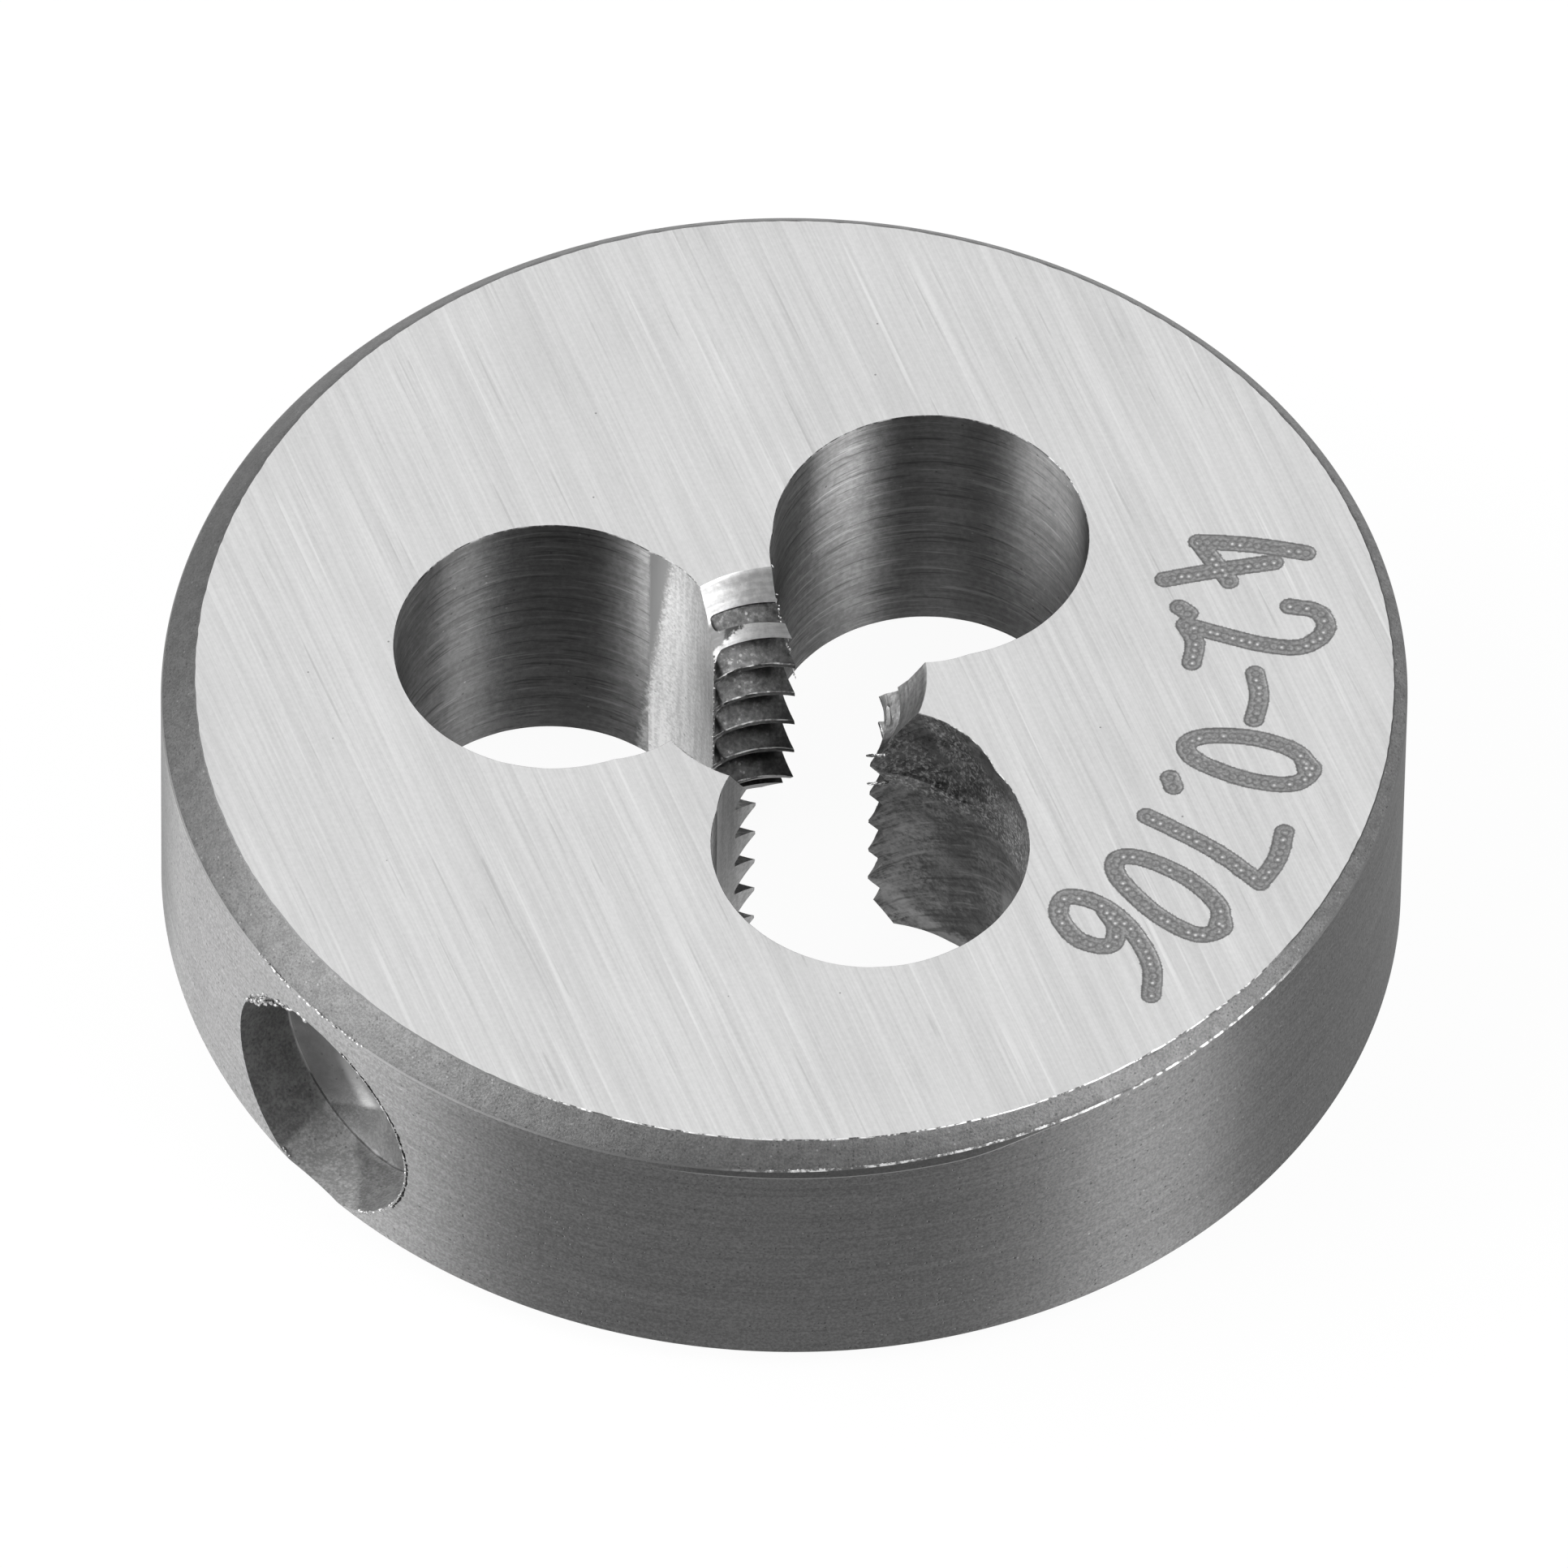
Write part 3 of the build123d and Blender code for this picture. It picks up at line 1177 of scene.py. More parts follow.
@dataclass(frozen=True)
class BlindHoleSteel(Finish):
    """Inside of the blind hole, speckled, with a painted cast shadow: lit below a slanting line, darker above
    it.

    Attributes:
        smooth: whether it is the smooth cone of the drill's point.
        seam: whether it is the corner between the wall and that cone.
    """

    smooth: bool = False
    seam: bool = False

    # Lines that bound the painted shadow, the painted light, the painted highlight streak and the painted
    # highlight on the seam.
    SHADE_LEFT = SightLine((355, 1408), (403, 1357), (400, 1450))
    SHADE_TOP = SightLine((403, 1357), (433, 1361), (420, 1450))
    LIGHT_DIVIDER = SightLine((438, 1340), (442, 1480), (470, 1450))
    HIGHLIGHT_LINE = SightLine((424, 1303), (453, 1360), (480, 1330))
    HIGHLIGHT_LINE_TOP = SightLine((405, 1306), (445, 1290), (440, 1350))
    SEAM_HIGHLIGHT_END = SightLine((380, 1322), (400, 1316), (390, 1340))

    def write(self, pen: ShaderWriter) -> None:
        """Writes the nodes.

        Args:
            pen: writer of the finish's nodes.
        """
        mottle = pen.grain(4, 3.0, 0.6)
        mixed = pen.weighted((pen.grain(20, 3.0, 0.65), 0.6), (mottle, 0.4))
        speckled = self.tone(pen, mixed, 0.38, 0.64)
        # Painted light below both shadow lines, painted shadow above them.
        lit = pen.math("MINIMUM", pen.beyond(self.SHADE_LEFT, 0.07), pen.beyond(self.SHADE_TOP, 0.05))
        if self.smooth:
            # The smooth point cone in the painted shadow: dark, with a bright painted highlight streak near
            # the lip.
            plain = pen.blend(pen.ramp(mottle, 0.3, 0.7), self.dark * 0.80, self.dark * 0.98)
            aside = pen.math("ABSOLUTE", pen.distance(self.HIGHLIGHT_LINE))
            painted_highlight = pen.times(pen.ramp(aside, 0.02, 0.15, 1.0, 0.0), pen.beyond(self.HIGHLIGHT_LINE_TOP, 0.25))
            plain = pen.over(plain, self.light * 1.25, painted_highlight)
            # Its lit part is painted darker, as painted shade.
            tone = pen.blend(lit, plain, pen.gained(speckled, 0.44))
        else:
            # The lit wall is painted lighter to the left of the divider, as painted light.
            left = pen.blend(pen.beyond(self.LIGHT_DIVIDER, 0.10), pen.gained(speckled, 1.75), speckled)
            tone = pen.blend(lit, speckled, left)
        if self.seam:
            # Painted highlight on the seam above its end, and painted shade that darkens it below.
            tone = pen.blend(pen.beyond(self.SEAM_HIGHLIGHT_END, 0.06), 0.46, pen.gained(tone, 0.40))
        tone = pen.over(tone, self.dark * 0.4, pen.specks(12.0, 0.34, 0.16), 0.45)
        pen.finish(self, tone, pen.bump(mixed, 0.012, 0.6))


@dataclass(frozen=True)
class EngravedMark(Finish):
    """Bottom of the engraved strokes: scorched rings with bright middles.

    Attributes:
        ring: radius of the scorched ring round each dot.
        border: distance of the scorched border from the middle of a stroke.
    """

    ring: float = 0.068
    border: float = 0.150

    def write(self, pen: ShaderWriter) -> None:
        """Writes the nodes.

        Args:
            pen: writer of the finish's nodes.
        """
        line, dot, chance = (
            pen.add("ShaderNodeAttribute", attribute_name=name).outputs["Fac"]
            for name in ("mark_line", "mark_dot", "mark_chance")
        )
        grain = pen.grain(18)
        tone = self.tone(pen, grain, 0.3, 0.7)
        ring = pen.ramp(pen.away(dot, self.ring), 0.0, 0.022, 1.0, 0.0)
        tone = pen.over(tone, self.dark * 0.55, ring, 0.55)
        middle = pen.ramp(dot, 0.020, 0.042, 1.0, 0.0)
        tone = pen.over(tone, 0.75, pen.times(middle, pen.ramp(chance, 0.35, 0.75)))
        border = pen.ramp(pen.away(line, self.border), 0.0, 0.020, 1.0, 0.0)
        tone = pen.over(tone, self.dark * 0.5, border, 0.6)
        pen.finish(self, tone, pen.bump(grain, 0.006, 0.4))


# The die's shapes


@dataclass
class Strokes:
    """Path of a hand-engraved number on the marked face.

    Attributes:
        sizes: the die's sizes.
        radius: distance of the number's middle from the axis.
        glyph_width: width of a full digit.
        glyph_height: height of a full digit.
        step: distance between the path's points.
    """

    sizes: DieSizes
    radius: float = 7.62
    glyph_width: float = 1.02
    glyph_height: float = 2.30
    step: float = 0.03

    GLYPHS = {
        "4": (
            ((0.74, 1.0), (0.42, 0.70), (0.06, 0.34)),
            ((0.06, 0.34), (0.5, 0.37), (1.0, 0.42)),
            ((0.80, 0.76), (0.74, 0.38), (0.70, 0.0)),
        ),
        "2": (
            ((0.04, 0.78), (0.24, 0.97), (0.60, 1.0), (0.86, 0.82), (0.74, 0.55), (0.40, 0.26), (0.04, 0.02)),
            ((0.04, 0.02), (0.5, 0.06), (1.0, 0.02)),
        ),
        "0": (
            (
                *((0.56, 0.98), (0.20, 0.86), (0.04, 0.5), (0.16, 0.14), (0.46, 0.0)),
                *((0.80, 0.12), (0.96, 0.52), (0.84, 0.88), (0.52, 1.0), (0.36, 0.95)),
            ),
        ),
        "7": (((0.0, 0.93), (0.5, 0.98), (0.98, 0.97)), ((0.98, 0.97), (0.68, 0.55), (0.44, 0.0))),
        "6": (
            (
                *((0.84, 1.0), (0.44, 0.80), (0.14, 0.46), (0.12, 0.18), (0.40, 0.0)),
                *((0.80, 0.08), (0.92, 0.32), (0.64, 0.50), (0.30, 0.42), (0.16, 0.28)),
            ),
        ),
        "-": (((0.0, 0.47), (0.5, 0.50), (1.0, 0.48)),),
        ".": (((0.42, 0.02), (0.60, 0.07)),),
    }
    """Strokes of each glyph, each a list of points in the glyph's unit box."""

    PLACES = (
        ("4", 20.4, 1.0, 1.02, 0.05),
        (".", 13.6, 1.0, 1.0, -0.05),
        ("2", 7.6, 0.95, 0.98, -0.06),
        ("-", -2.2, 0.95, 1.0, 0.04),
        ("0", -12.0, 0.92, 0.90, 0.02),
        (".", -18.8, 1.0, 1.0, 0.02),
        ("7", -25.6, 1.0, 1.0, -0.08),
        ("0", -35.6, 0.95, 0.95, 0.06),
        ("6", -45.4, 1.0, 1.04, -0.02),
    )
    """(glyph, angle on the face, share of the width, share of the height, slant) of the whole number."""

    def lines(self) -> list[np.ndarray]:
        """Every stroke as points on the marked face.

        Returns:
            One row of x, y, z a point, in one array a stroke.
        """
        found = []
        for glyph, angle, wide, tall, slant in self.PLACES:
            for stroke in self.GLYPHS[glyph]:
                found.append(self.on_face(np.array(stroke), angle, wide, tall, slant))
        return found

    def on_face(self, stroke: np.ndarray, angle: float, wide: float, tall: float, slant: float) -> np.ndarray:
        """Lays one stroke on the face, its top towards the rim.

        Args:
            stroke: corner points in the glyph's own unit box.
            angle: direction of the glyph's middle from the axis.
            wide: share of the full digit's width.
            tall: share of the full digit's height.
            slant: lean of the glyph.

        Returns:
            Points at even steps.
        """
        smooth = self.rounded(stroke)
        up = (smooth[:, 1] - 0.5) * self.glyph_height * tall
        along = (smooth[:, 0] - 0.5) * self.glyph_width * wide + slant * up
        turn = math.radians(angle) - along / self.radius
        reach = self.radius + up
        points = np.column_stack([reach * np.cos(turn), reach * np.sin(turn)])
        gaps = np.hypot(*np.diff(points, axis=0).T)
        travel = np.concatenate([[0], np.cumsum(gaps)])
        even = np.linspace(0, travel[-1], max(3, round(travel[-1] / self.step)))
        flat = np.column_stack([np.interp(even, travel, points[:, k]) for k in range(2)])
        return np.column_stack([flat, np.full(len(flat), self.sizes.thickness)])

    @staticmethod
    def rounded(corners: np.ndarray, pieces: int = 14) -> np.ndarray:
        """Smooth path through corner points.

        Args:
            corners: the corner points.
            pieces: steps from one corner point to the next.

        Returns:
            The path's points.
        """
        ends = np.vstack([2 * corners[0] - corners[1], corners, 2 * corners[-1] - corners[-2]])
        path = []
        for a, b, c, d in zip(ends, ends[1:], ends[2:], ends[3:]):
            for t in np.linspace(0, 1, pieces, endpoint=False):
                bend, twist = 2 * a - 5 * b + 4 * c - d, 3 * b - a - 3 * c + d
                path.append(0.5 * (2 * b + (c - a) * t + bend * t**2 + twist * t**3))
        path.append(corners[-1])
        return np.array(path)

    def curve(self) -> bpy.types.Object:
        """Object that holds the strokes as curves.

        Returns:
            The object.
        """
        data = bpy.data.curves.new("mark_strokes", "CURVE")
        data.dimensions = "3D"
        for line in self.lines():
            spline = data.splines.new("POLY")
            spline.points.add(len(line) - 1)
            spline.points.foreach_set("co", np.column_stack([line, np.ones(len(line))]).ravel())
        return stand_in_scene("mark_strokes", data)

    def mesh_points(self, fine: float = 0.027, coarse: float = 0.09, reach: float = 0.26) -> np.ndarray:
        """Points that the marked face needs under the strokes, with looser ones round them.

        Args:
            fine: distance between the points under the strokes.
            coarse: distance between the points round them.
            reach: how far from a stroke's middle the fine points go.

        Returns:
            One row of x and y a point.
        """
        path = np.vstack([line[:, :2] for line in self.lines()])
        chosen = []
        for spacing, near, far in ((fine, 0.0, reach), (coarse, reach + 0.03, reach + 0.30)):
            low, high = path.min(0) - far, path.max(0) + far
            rows = np.arange(low[1], high[1], spacing * 0.866)
            columns = np.arange(low[0], high[0], spacing)
            x, y = np.meshgrid(columns, rows)
            x = x + np.where(np.arange(len(rows)) % 2, spacing / 2, 0)[:, None]
            grid = np.column_stack([x.ravel(), y.ravel()])
            distance = np.full(len(grid), 9.0)
            for line in self.lines():
                flat = line[::2, :2]
                box = np.all((grid > flat.min(0) - far) & (grid < flat.max(0) + far), axis=1)
                gap = np.hypot(*(grid[box][:, None, :] - flat[None, :, :]).transpose(2, 0, 1)).min(1)
                distance[box] = np.minimum(distance[box], gap)
            chosen.append(grid[(distance >= near) & (distance < far)])
        return np.vstack(chosen)


@dataclass
class Blank:
    """The disc before it is cut: two faces, two chamfers that are off its axis, and the rim.

    Attributes:
        sizes: the die's sizes.
        strokes: the mark, under which the face has a finer mesh.
        columns: vertices round the disc.
        rim_rows: rows of vertices down the rim.
        edge: width of the broken edge round each face.
        border: width of the broken edge between a chamfer and the rim.
        chip: greatest depth of a chip in the marked face's edge.
    """

    sizes: DieSizes
    strokes: Strokes
    columns: int = 900
    rim_rows: int = 18
    edge: float = 0.010
    border: float = 0.014
    chip: float = 0.035

    def build(self, finishes: Finishes) -> bpy.types.Object:
        """Makes the blank as one closed mesh.

        Args:
            finishes: material of each region.

        Returns:
            The blank with its finishes.
        """
        rings = self.rings()
        count = self.columns
        vertices = [np.vstack(rings)]
        faces = ring_faces(len(rings), count)
        last = (len(rings) - 1) * count
        faces.append(tuple(last + column for column in reversed(range(count))))
        inner, triangles = self.marked_face(rings[0][:, :2], len(rings) * count)
        vertices.append(inner)
        faces.extend(triangles)
        blank = make_object("die_blank", np.vstack(vertices), faces)
        face, chamfer, rim, face_edge, border = range(5)
        bands = [face_edge] + [chamfer] * 6 + [border] + [rim] * (self.rim_rows - 1) + [chamfer] * 4
        numbers = np.concatenate([np.repeat(bands, count), np.full(len(faces) - len(bands) * count, face)])
        regions = [Region.FACE, Region.CHAMFER, Region.RIM, Region.FACE_EDGE, Region.BORDER]
        tag(blank, finishes, regions, numbers)
        return blank

    def rings(self) -> list[np.ndarray]:
        """Rings of vertices round the blank.

        Returns:
            The rings, from the edge of the marked face down to the edge of the other one.
        """
        s = self.sizes
        angle = np.linspace(0, 2 * math.pi, self.columns, endpoint=False)
        unit = np.column_stack([np.cos(angle), np.sin(angle)])
        top_centre, low_centre = np.array(s.face_centre), np.array(s.lower_face_centre)
        face_edge = top_centre + s.face_radius * unit
        rim = (s.rim_radius - 0.0005) * unit
        drop = np.hypot(*(rim - top_centre).T) - s.face_radius
        rise = np.hypot(*(rim - low_centre).T) - s.lower_face_radius
        chips = self.edge_chips()
        rings = []

        def ring(flat: np.ndarray, height: np.ndarray) -> None:
            """Adds one ring of points at a height."""
            rings.append(np.column_stack([flat, np.broadcast_to(height, (self.columns,))]))

        ring(face_edge - unit * (self.edge + chips)[:, None], s.thickness)
        ring(face_edge + unit * (0.004 - 0.5 * chips)[:, None], s.thickness - 0.011 - 0.3 * chips)
        for share in (0.10, 0.3, 0.5, 0.7, 0.9):
            flat = face_edge * (1 - share) + rim * share
            depth = np.hypot(*(flat - top_centre).T) - s.face_radius
            ring(flat, s.thickness - depth)
        ring(rim - unit * 0.024, s.thickness - drop + 0.016)
        top, low = s.thickness - drop - self.border, rise + self.border
        for row in range(self.rim_rows):
            share = row / (self.rim_rows - 1)
            ring(rim, top * (1 - share) + low * share)
        ring(rim - unit * 0.016, rise - 0.008)
        low_edge = low_centre + s.lower_face_radius * unit
        flat = (rim + low_edge) / 2
        ring(flat, np.hypot(*(flat - low_centre).T) - s.lower_face_radius)
        ring(low_edge + unit * 0.004, np.full(self.columns, 0.011))
        ring(low_edge - unit * self.edge, 0.0)
        return rings

    def edge_chips(self) -> np.ndarray:
        """How far the face's edge is broken back at each column."""
        fine = Ragged(11, 1.0, 450).ring(self.columns)
        coarse = Ragged(12, 1.0, 170).ring(self.columns)
        return 0.010 + 0.007 * fine + self.chip * np.clip(coarse - 0.72, 0, 1)

    def marked_face(self, edge: np.ndarray, first: int) -> tuple[np.ndarray, list]:
        """Triangles of the marked face.

        Args:
            edge: ring of points round the face.
            first: number that the first new vertex gets.

        Returns:
            The new vertices and the triangles.
        """
        extra = self.strokes.mesh_points()
        flat = [Vector(point) for point in np.vstack([edge, extra]).tolist()]
        result = delaunay_2d_cdt(flat, [], [list(range(len(edge)))], 1, 1e-7)
        source = [group[0] for group in result[3]]
        number = [index if index < len(edge) else first + index - len(edge) for index in source]
        triangles = []
        for a, b, c in result[2]:
            pa, pb, pc = (result[0][k] for k in (a, b, c))
            if (pb - pa).cross(pc - pa) <= 0:
                b, c = c, b
            triangles.append((number[a], number[b], number[c]))
        height = np.full(len(extra), self.sizes.thickness)
        return np.column_stack([extra, height]), triangles


@dataclass
class ThreadCutter:
    """Threaded rod whose shape the lands keep as their teeth.

    Attributes:
        sizes: the die's sizes.
        flank_rows: rows of vertices on a flank.
        flank_tear: how far the torn flanks stand off their shape, on average.
        crest_tear: the same for the crests and their edges.
        overrun: how far the rod's points reach past its ends.
    """

    sizes: DieSizes
    flank_rows: int = 4
    flank_tear: float = 0.005
    crest_tear: float = 0.008
    overrun: float = 1.5

    def section(self) -> list[tuple[float, float]]:
        """Outline of one pitch of the thread.

        Returns:
            (height, radius) pairs, the groove's middle at height 0.
        """
        s = self.sizes
        root, foot = s.root_flat / 2, (s.pitch - s.crest_flat) / 2
        rows = [(-s.pitch / 2, s.minor_radius), (-foot - 0.006, s.minor_radius + 0.001)]
        shares = np.linspace(0, 1, self.flank_rows + 2)
        shares[0] = 0.035
        for side, flank in ((-1, shares), (1, shares[::-1])):
            for share in flank:
                height = side * (foot * (1 - share) + root * share)
                rows.append((height, s.minor_radius * (1 - share) + s.major_radius * share))
        rows.append((foot + 0.006, s.minor_radius + 0.001))
        return rows

    @staticmethod
    def angles() -> np.ndarray:
        """Angles of the columns in a turn, closer where torn metal fills the grooves."""
        parts = [np.arange(0, 360, 2.0), np.arange(124, 135, 0.6), np.arange(336, 350, 1.0)]
        return np.radians(np.unique(np.concatenate(parts).round(3)))

    @staticmethod
    def depth_share(degrees: np.ndarray, level: np.ndarray) -> np.ndarray:
        """Share of the groove's depth that torn metal leaves open.

        Args:
            degrees: angles of the places.
            level: their heights.

        Returns:
            One share a place.
        """
        corner = [125.4, 126.8, 128.6, 130.2, 132.6, 200, 201]
        left = np.interp(degrees, corner, [1, 0.92, 0.46, 0.24, 0.03, 0.03, 1])
        right = np.interp(degrees, [270, 271, 341, 348], [1, 0.40, 0.45, 1])
        upper = np.where(degrees > 180, degrees - 360, degrees)
        upper = np.interp(upper, [-20, 4, 30, 40], [1, 0.55, 0.55, 1])
        return np.minimum(left, right) * np.where(level > 4.25, upper, 1.0)

    def bands(self) -> list[int]:
        """Slot number of the strip above each row of the section: 0 flank, 1 crest, 2 edge."""
        flank = [0] * (2 * self.flank_rows + 3)
        return [1, 2, *flank, 2, 1]

    def build(self, finishes: Finishes) -> bpy.types.Object:
        """Makes the rod as one closed mesh, its rows along the helix.

        Args:
            finishes: material of each region.

        Returns:
            The rod with its finishes.
        """
        s = self.sizes
        section, bands, angle = self.section(), self.bands(), self.angles()
        per_turn, count = len(section), len(angle)
        rows = per_turn * (math.ceil(s.thickness / s.pitch) + 3)
        start = s.groove_height - 3 * s.pitch
        draw = np.random.default_rng(31)
        grid = []
        for row in range(rows + per_turn):
            turn, place = divmod(row, per_turn)
            height, radius = section[place]
            torn = draw.normal(0, self.flank_tear if bands[place] == 0 else self.crest_tear, count)
            torn = np.concatenate([torn[-2:], torn, torn[:2]])
            torn = np.convolve(torn, [0.1, 0.25, 0.3, 0.25, 0.1], "valid")
            level = start + turn * s.pitch + height + s.pitch * angle / (2 * math.pi)
            left_open = self.depth_share(np.degrees(angle), level)
            reach = s.minor_radius + (radius - s.minor_radius) * left_open + torn
            grid.append(np.column_stack([reach * np.cos(angle), reach * np.sin(angle), level]))
        faces = []
        for low in range((rows - 1) * count):
            after = low + 1 if (low + 1) % count else low + 1 + (per_turn - 1) * count
            faces.append((low, after, after + count, low + count))
        cutter = self.capped(np.vstack(grid), faces, start)
        numbers = np.zeros(len(cutter.data.polygons), int)
        numbers[: len(faces)] = np.repeat([bands[row % per_turn] for row in range(rows - 1)], count)
        tag(cutter, finishes, [Region.THREAD, Region.CREST, Region.EDGE], numbers)
        return cutter

    def capped(self, vertices: np.ndarray, faces: list, start: float) -> bpy.types.Object:
        """Closes both ends of the rod and drops the vertices that no face uses.

        Args:
            vertices: the helical grid.
            faces: quads of the helical grid.
            start: height of the lowest groove.

        Returns:
            The object.
        """
        border = {}
        for face in faces:
            for a, b in zip(face, face[1:] + face[:1]):
                if border.pop((b, a), None) is None:
                    border[(a, b)] = True
        onward = {b: a for a, b in border}
        points = vertices.tolist()
        closed = list(faces)
        while onward:
            first = next(iter(onward))
            loop = [first]
            while onward.get(loop[-1]) not in (None, first):
                loop.append(onward[loop[-1]])
            for number in loop:
                onward.pop(number)
            height = float(np.mean([points[k][2] for k in loop]))
            below = height < self.sizes.thickness / 2
            closed += [(a, b, len(points)) for a, b in zip(loop, loop[1:] + loop[:1])]
            points.append([0.0, 0.0, start - self.overrun if below else height + self.overrun])
        used = sorted({number for face in closed for number in face})
        renumbered = {number: place for place, number in enumerate(used)}
        faces = [tuple(renumbered[number] for number in face) for face in closed]
        return make_object("thread_cutter", np.array(points)[used], faces)


@dataclass
class ChipHoleCutters:
    """Drills of the chip holes and the wheels of the rake faces.

    Attributes:
        sizes: the die's sizes.
        flare: width of the broken edge at each face.
        short_depth: how deep the wheels that only brushed a land cut at their full radius.
        fade: depth over which such a wheel's cut runs out.
        overrun: how far the cutters reach past the faces.
    """

    sizes: DieSizes
    flare: float = 0.012
    short_depth: float = 0.45
    fade: float = 0.95
    overrun: float = 0.4

    def profile(self, radius: float, sink: float) -> list[tuple[float, float]]:
        """(radius, height) pairs of a cutter that goes through the die, from the top down.

        Args:
            radius: radius of the cutter.
            sink: width of the 45 degree countersink at the unmarked face.

        Returns:
            The pairs.
        """
        s = self.sizes
        rows = [(radius + self.flare, s.thickness + over) for over in (self.overrun, 0.001)]
        rows += [(radius, height) for height in np.linspace(s.thickness - self.flare, sink, 26)]
        rows += [(radius + sink + 0.001, -over) for over in (0.001, self.overrun)]
        return rows

    def brushing(self, radius: float) -> list[tuple[float, float]]:
        """(radius, height) pairs of a wheel that only went a short way in, from the top down.

        Args:
            radius: radius of the wheel.

        Returns:
            The pairs.
        """
        s = self.sizes
        rows = [(radius + self.flare, s.thickness + over) for over in (self.overrun, 0.001)]
        rows += [(radius, s.thickness - depth) for depth in np.linspace(self.flare, self.short_depth, 6)]
        end = s.thickness - self.short_depth
        rows += [(radius - 0.16 * share, end - self.fade * share) for share in np.linspace(0, 1, 12)[1:]]
        return rows

    def array(self, name: str, one: bpy.types.Object, centres: list, materials: list) -> bpy.types.Object:
        """Cutters of one size at several centres, laid out by Geometry Nodes.

        Args:
            name: name of the object.
            one: one cutter, which is removed afterwards.
            centres: where the cutters stand.
            materials: material that they leave, and that of the broken edge at the marked face.

        Returns:
            The cutters as one object.
        """
        places = make_object(name, np.array([[*centre, 0.0] for centre in centres]), [])
        kinds = {"Cutter": "Object", "Finish": "Material", "Edge": "Material", "Height": "Float"}
        cutters = GeometryTree.named(name, Seed="Int", **kinds)
        pen = NodeWriter(cutters.tree)
        given = pen.add("NodeGroupInput").outputs
        shape = pen.add("GeometryNodeObjectInfo", {"Object": given["Cutter"]}).outputs["Geometry"]
        turn = pen.add("FunctionNodeRandomValue", {"Seed": given["Seed"], 3: 2 * math.pi}, data_type="FLOAT")
        spin = pen.add("ShaderNodeCombineXYZ", {"Z": turn.outputs[1]}).outputs[0]
        points = pen.geometry("MeshToPoints", {"Mesh": given["Geometry"]})
        stand = pen.geometry("InstanceOnPoints", {"Points": points, "Instance": shape, "Rotation": spin})
        real = pen.geometry("RealizeInstances", {"Geometry": stand})
        plain = pen.geometry("SetMaterial", {"Geometry": real, "Material": given["Finish"]})
        height = pen.add("ShaderNodeSeparateXYZ", {"Vector": pen.geometry("InputPosition", {})}).outputs["Z"]
        high = pen.math("GREATER_THAN", height, given["Height"])
        edged = pen.geometry("SetMaterial", {"Geometry": plain, "Selection": high, "Material": given["Edge"]})
        pen.add("NodeGroupOutput", {"Geometry": edged})
        edge_start = self.sizes.thickness - 0.6 * self.flare
        finish, edge = materials
        made = cutters.run_on(places, name, Cutter=one, Seed=5, Finish=finish, Edge=edge, Height=edge_start)
        bpy.data.objects.remove(one)
        return made

    def build(self, finishes: Finishes) -> list[bpy.types.Object]:
        """Makes the drills, the rake wheels that go through and those that only brushed a land.

        Args:
            finishes: material of each region.

        Returns:
            The cutters, one object for each kind.
        """
        s = self.sizes
        wall, rake, edge = (finishes[region] for region in (Region.CHIP_HOLE, Region.RAKE, Region.HOLE_EDGE))
        holes = [s.chip_hole_centre(index) for index in range(3)]
        rows = self.profile(s.chip_hole_radius, s.countersink_width)
        drill = turned_solid("chip_hole_drill", rows, 160, Ragged(3, 0.004, 60, 0.5))
        cutters = [self.array("chip_hole_drills", drill, holes, [wall, edge])]
        wheel_centre = s.rake_wheel_centre
        through = {
            -1: [wheel_centre(1, -1), wheel_centre(2, -1, even=True)],
            1: [wheel_centre(1, 1), wheel_centre(2, 1)],
        }
        brushed = {-1: [wheel_centre(0, -1), wheel_centre(2, -1)], 1: [wheel_centre(0, 1)]}
        for side, word in ((-1, "left"), (1, "right")):
            rows = self.profile(s.rake_wheel_radius, self.flare)
            wheel = turned_solid("rake_wheel", rows, 144, Ragged(4 + side, 0.003, 90, 0.85))
            cutters.append(self.array(f"rake_wheels_{word}", wheel, through[side], [rake, edge]))
            rows = self.brushing(s.rake_wheel_radius)
            wheel = turned_solid("short_wheel", rows, 144, Ragged(8 + side, 0.005, 60, 0.6))
            cutters.append(self.array(f"short_wheels_{word}", wheel, brushed[side], [wall, edge]))
        return cutters


@dataclass
class LeadInCutters:
    """Countersinks at both ends of the thread.

    Attributes:
        sizes: the die's sizes.
        depth: how deep each one reaches.
    """

    sizes: DieSizes
    depth: float = 2.6

    def build(self, finishes: Finishes) -> list[bpy.types.Object]:
        """Makes both countersinks.

        Args:
            finishes: material of each region.

        Returns:
            The countersink of the marked face, then the other one.
        """
        s = self.sizes
        slope = math.tan(math.radians(s.lead_in_half_angle))
        made = []
        for number, side in enumerate((1, -1)):
            wide = s.lead_in_radius(side)
            rows = [(wide + 0.006, 0.4), (wide + 0.006, 0.001)]
            rows += [(wide - depth * slope, -depth) for depth in np.linspace(0.006, self.depth, 48)]
            cone = turned_solid(f"lead_in_cutter_{number}", rows, 150, Ragged(41 + number, 0.003, 14, 0.35))
            tag(cone, finishes, [Region.LEAD_IN])
            if side > 0:
                cone.data.transform(Matrix.Translation((0, 0, s.thickness)))
            else:
                cone.data.transform(Matrix.Rotation(math.pi, 4, "X"))
            made.append(cone)
        return made


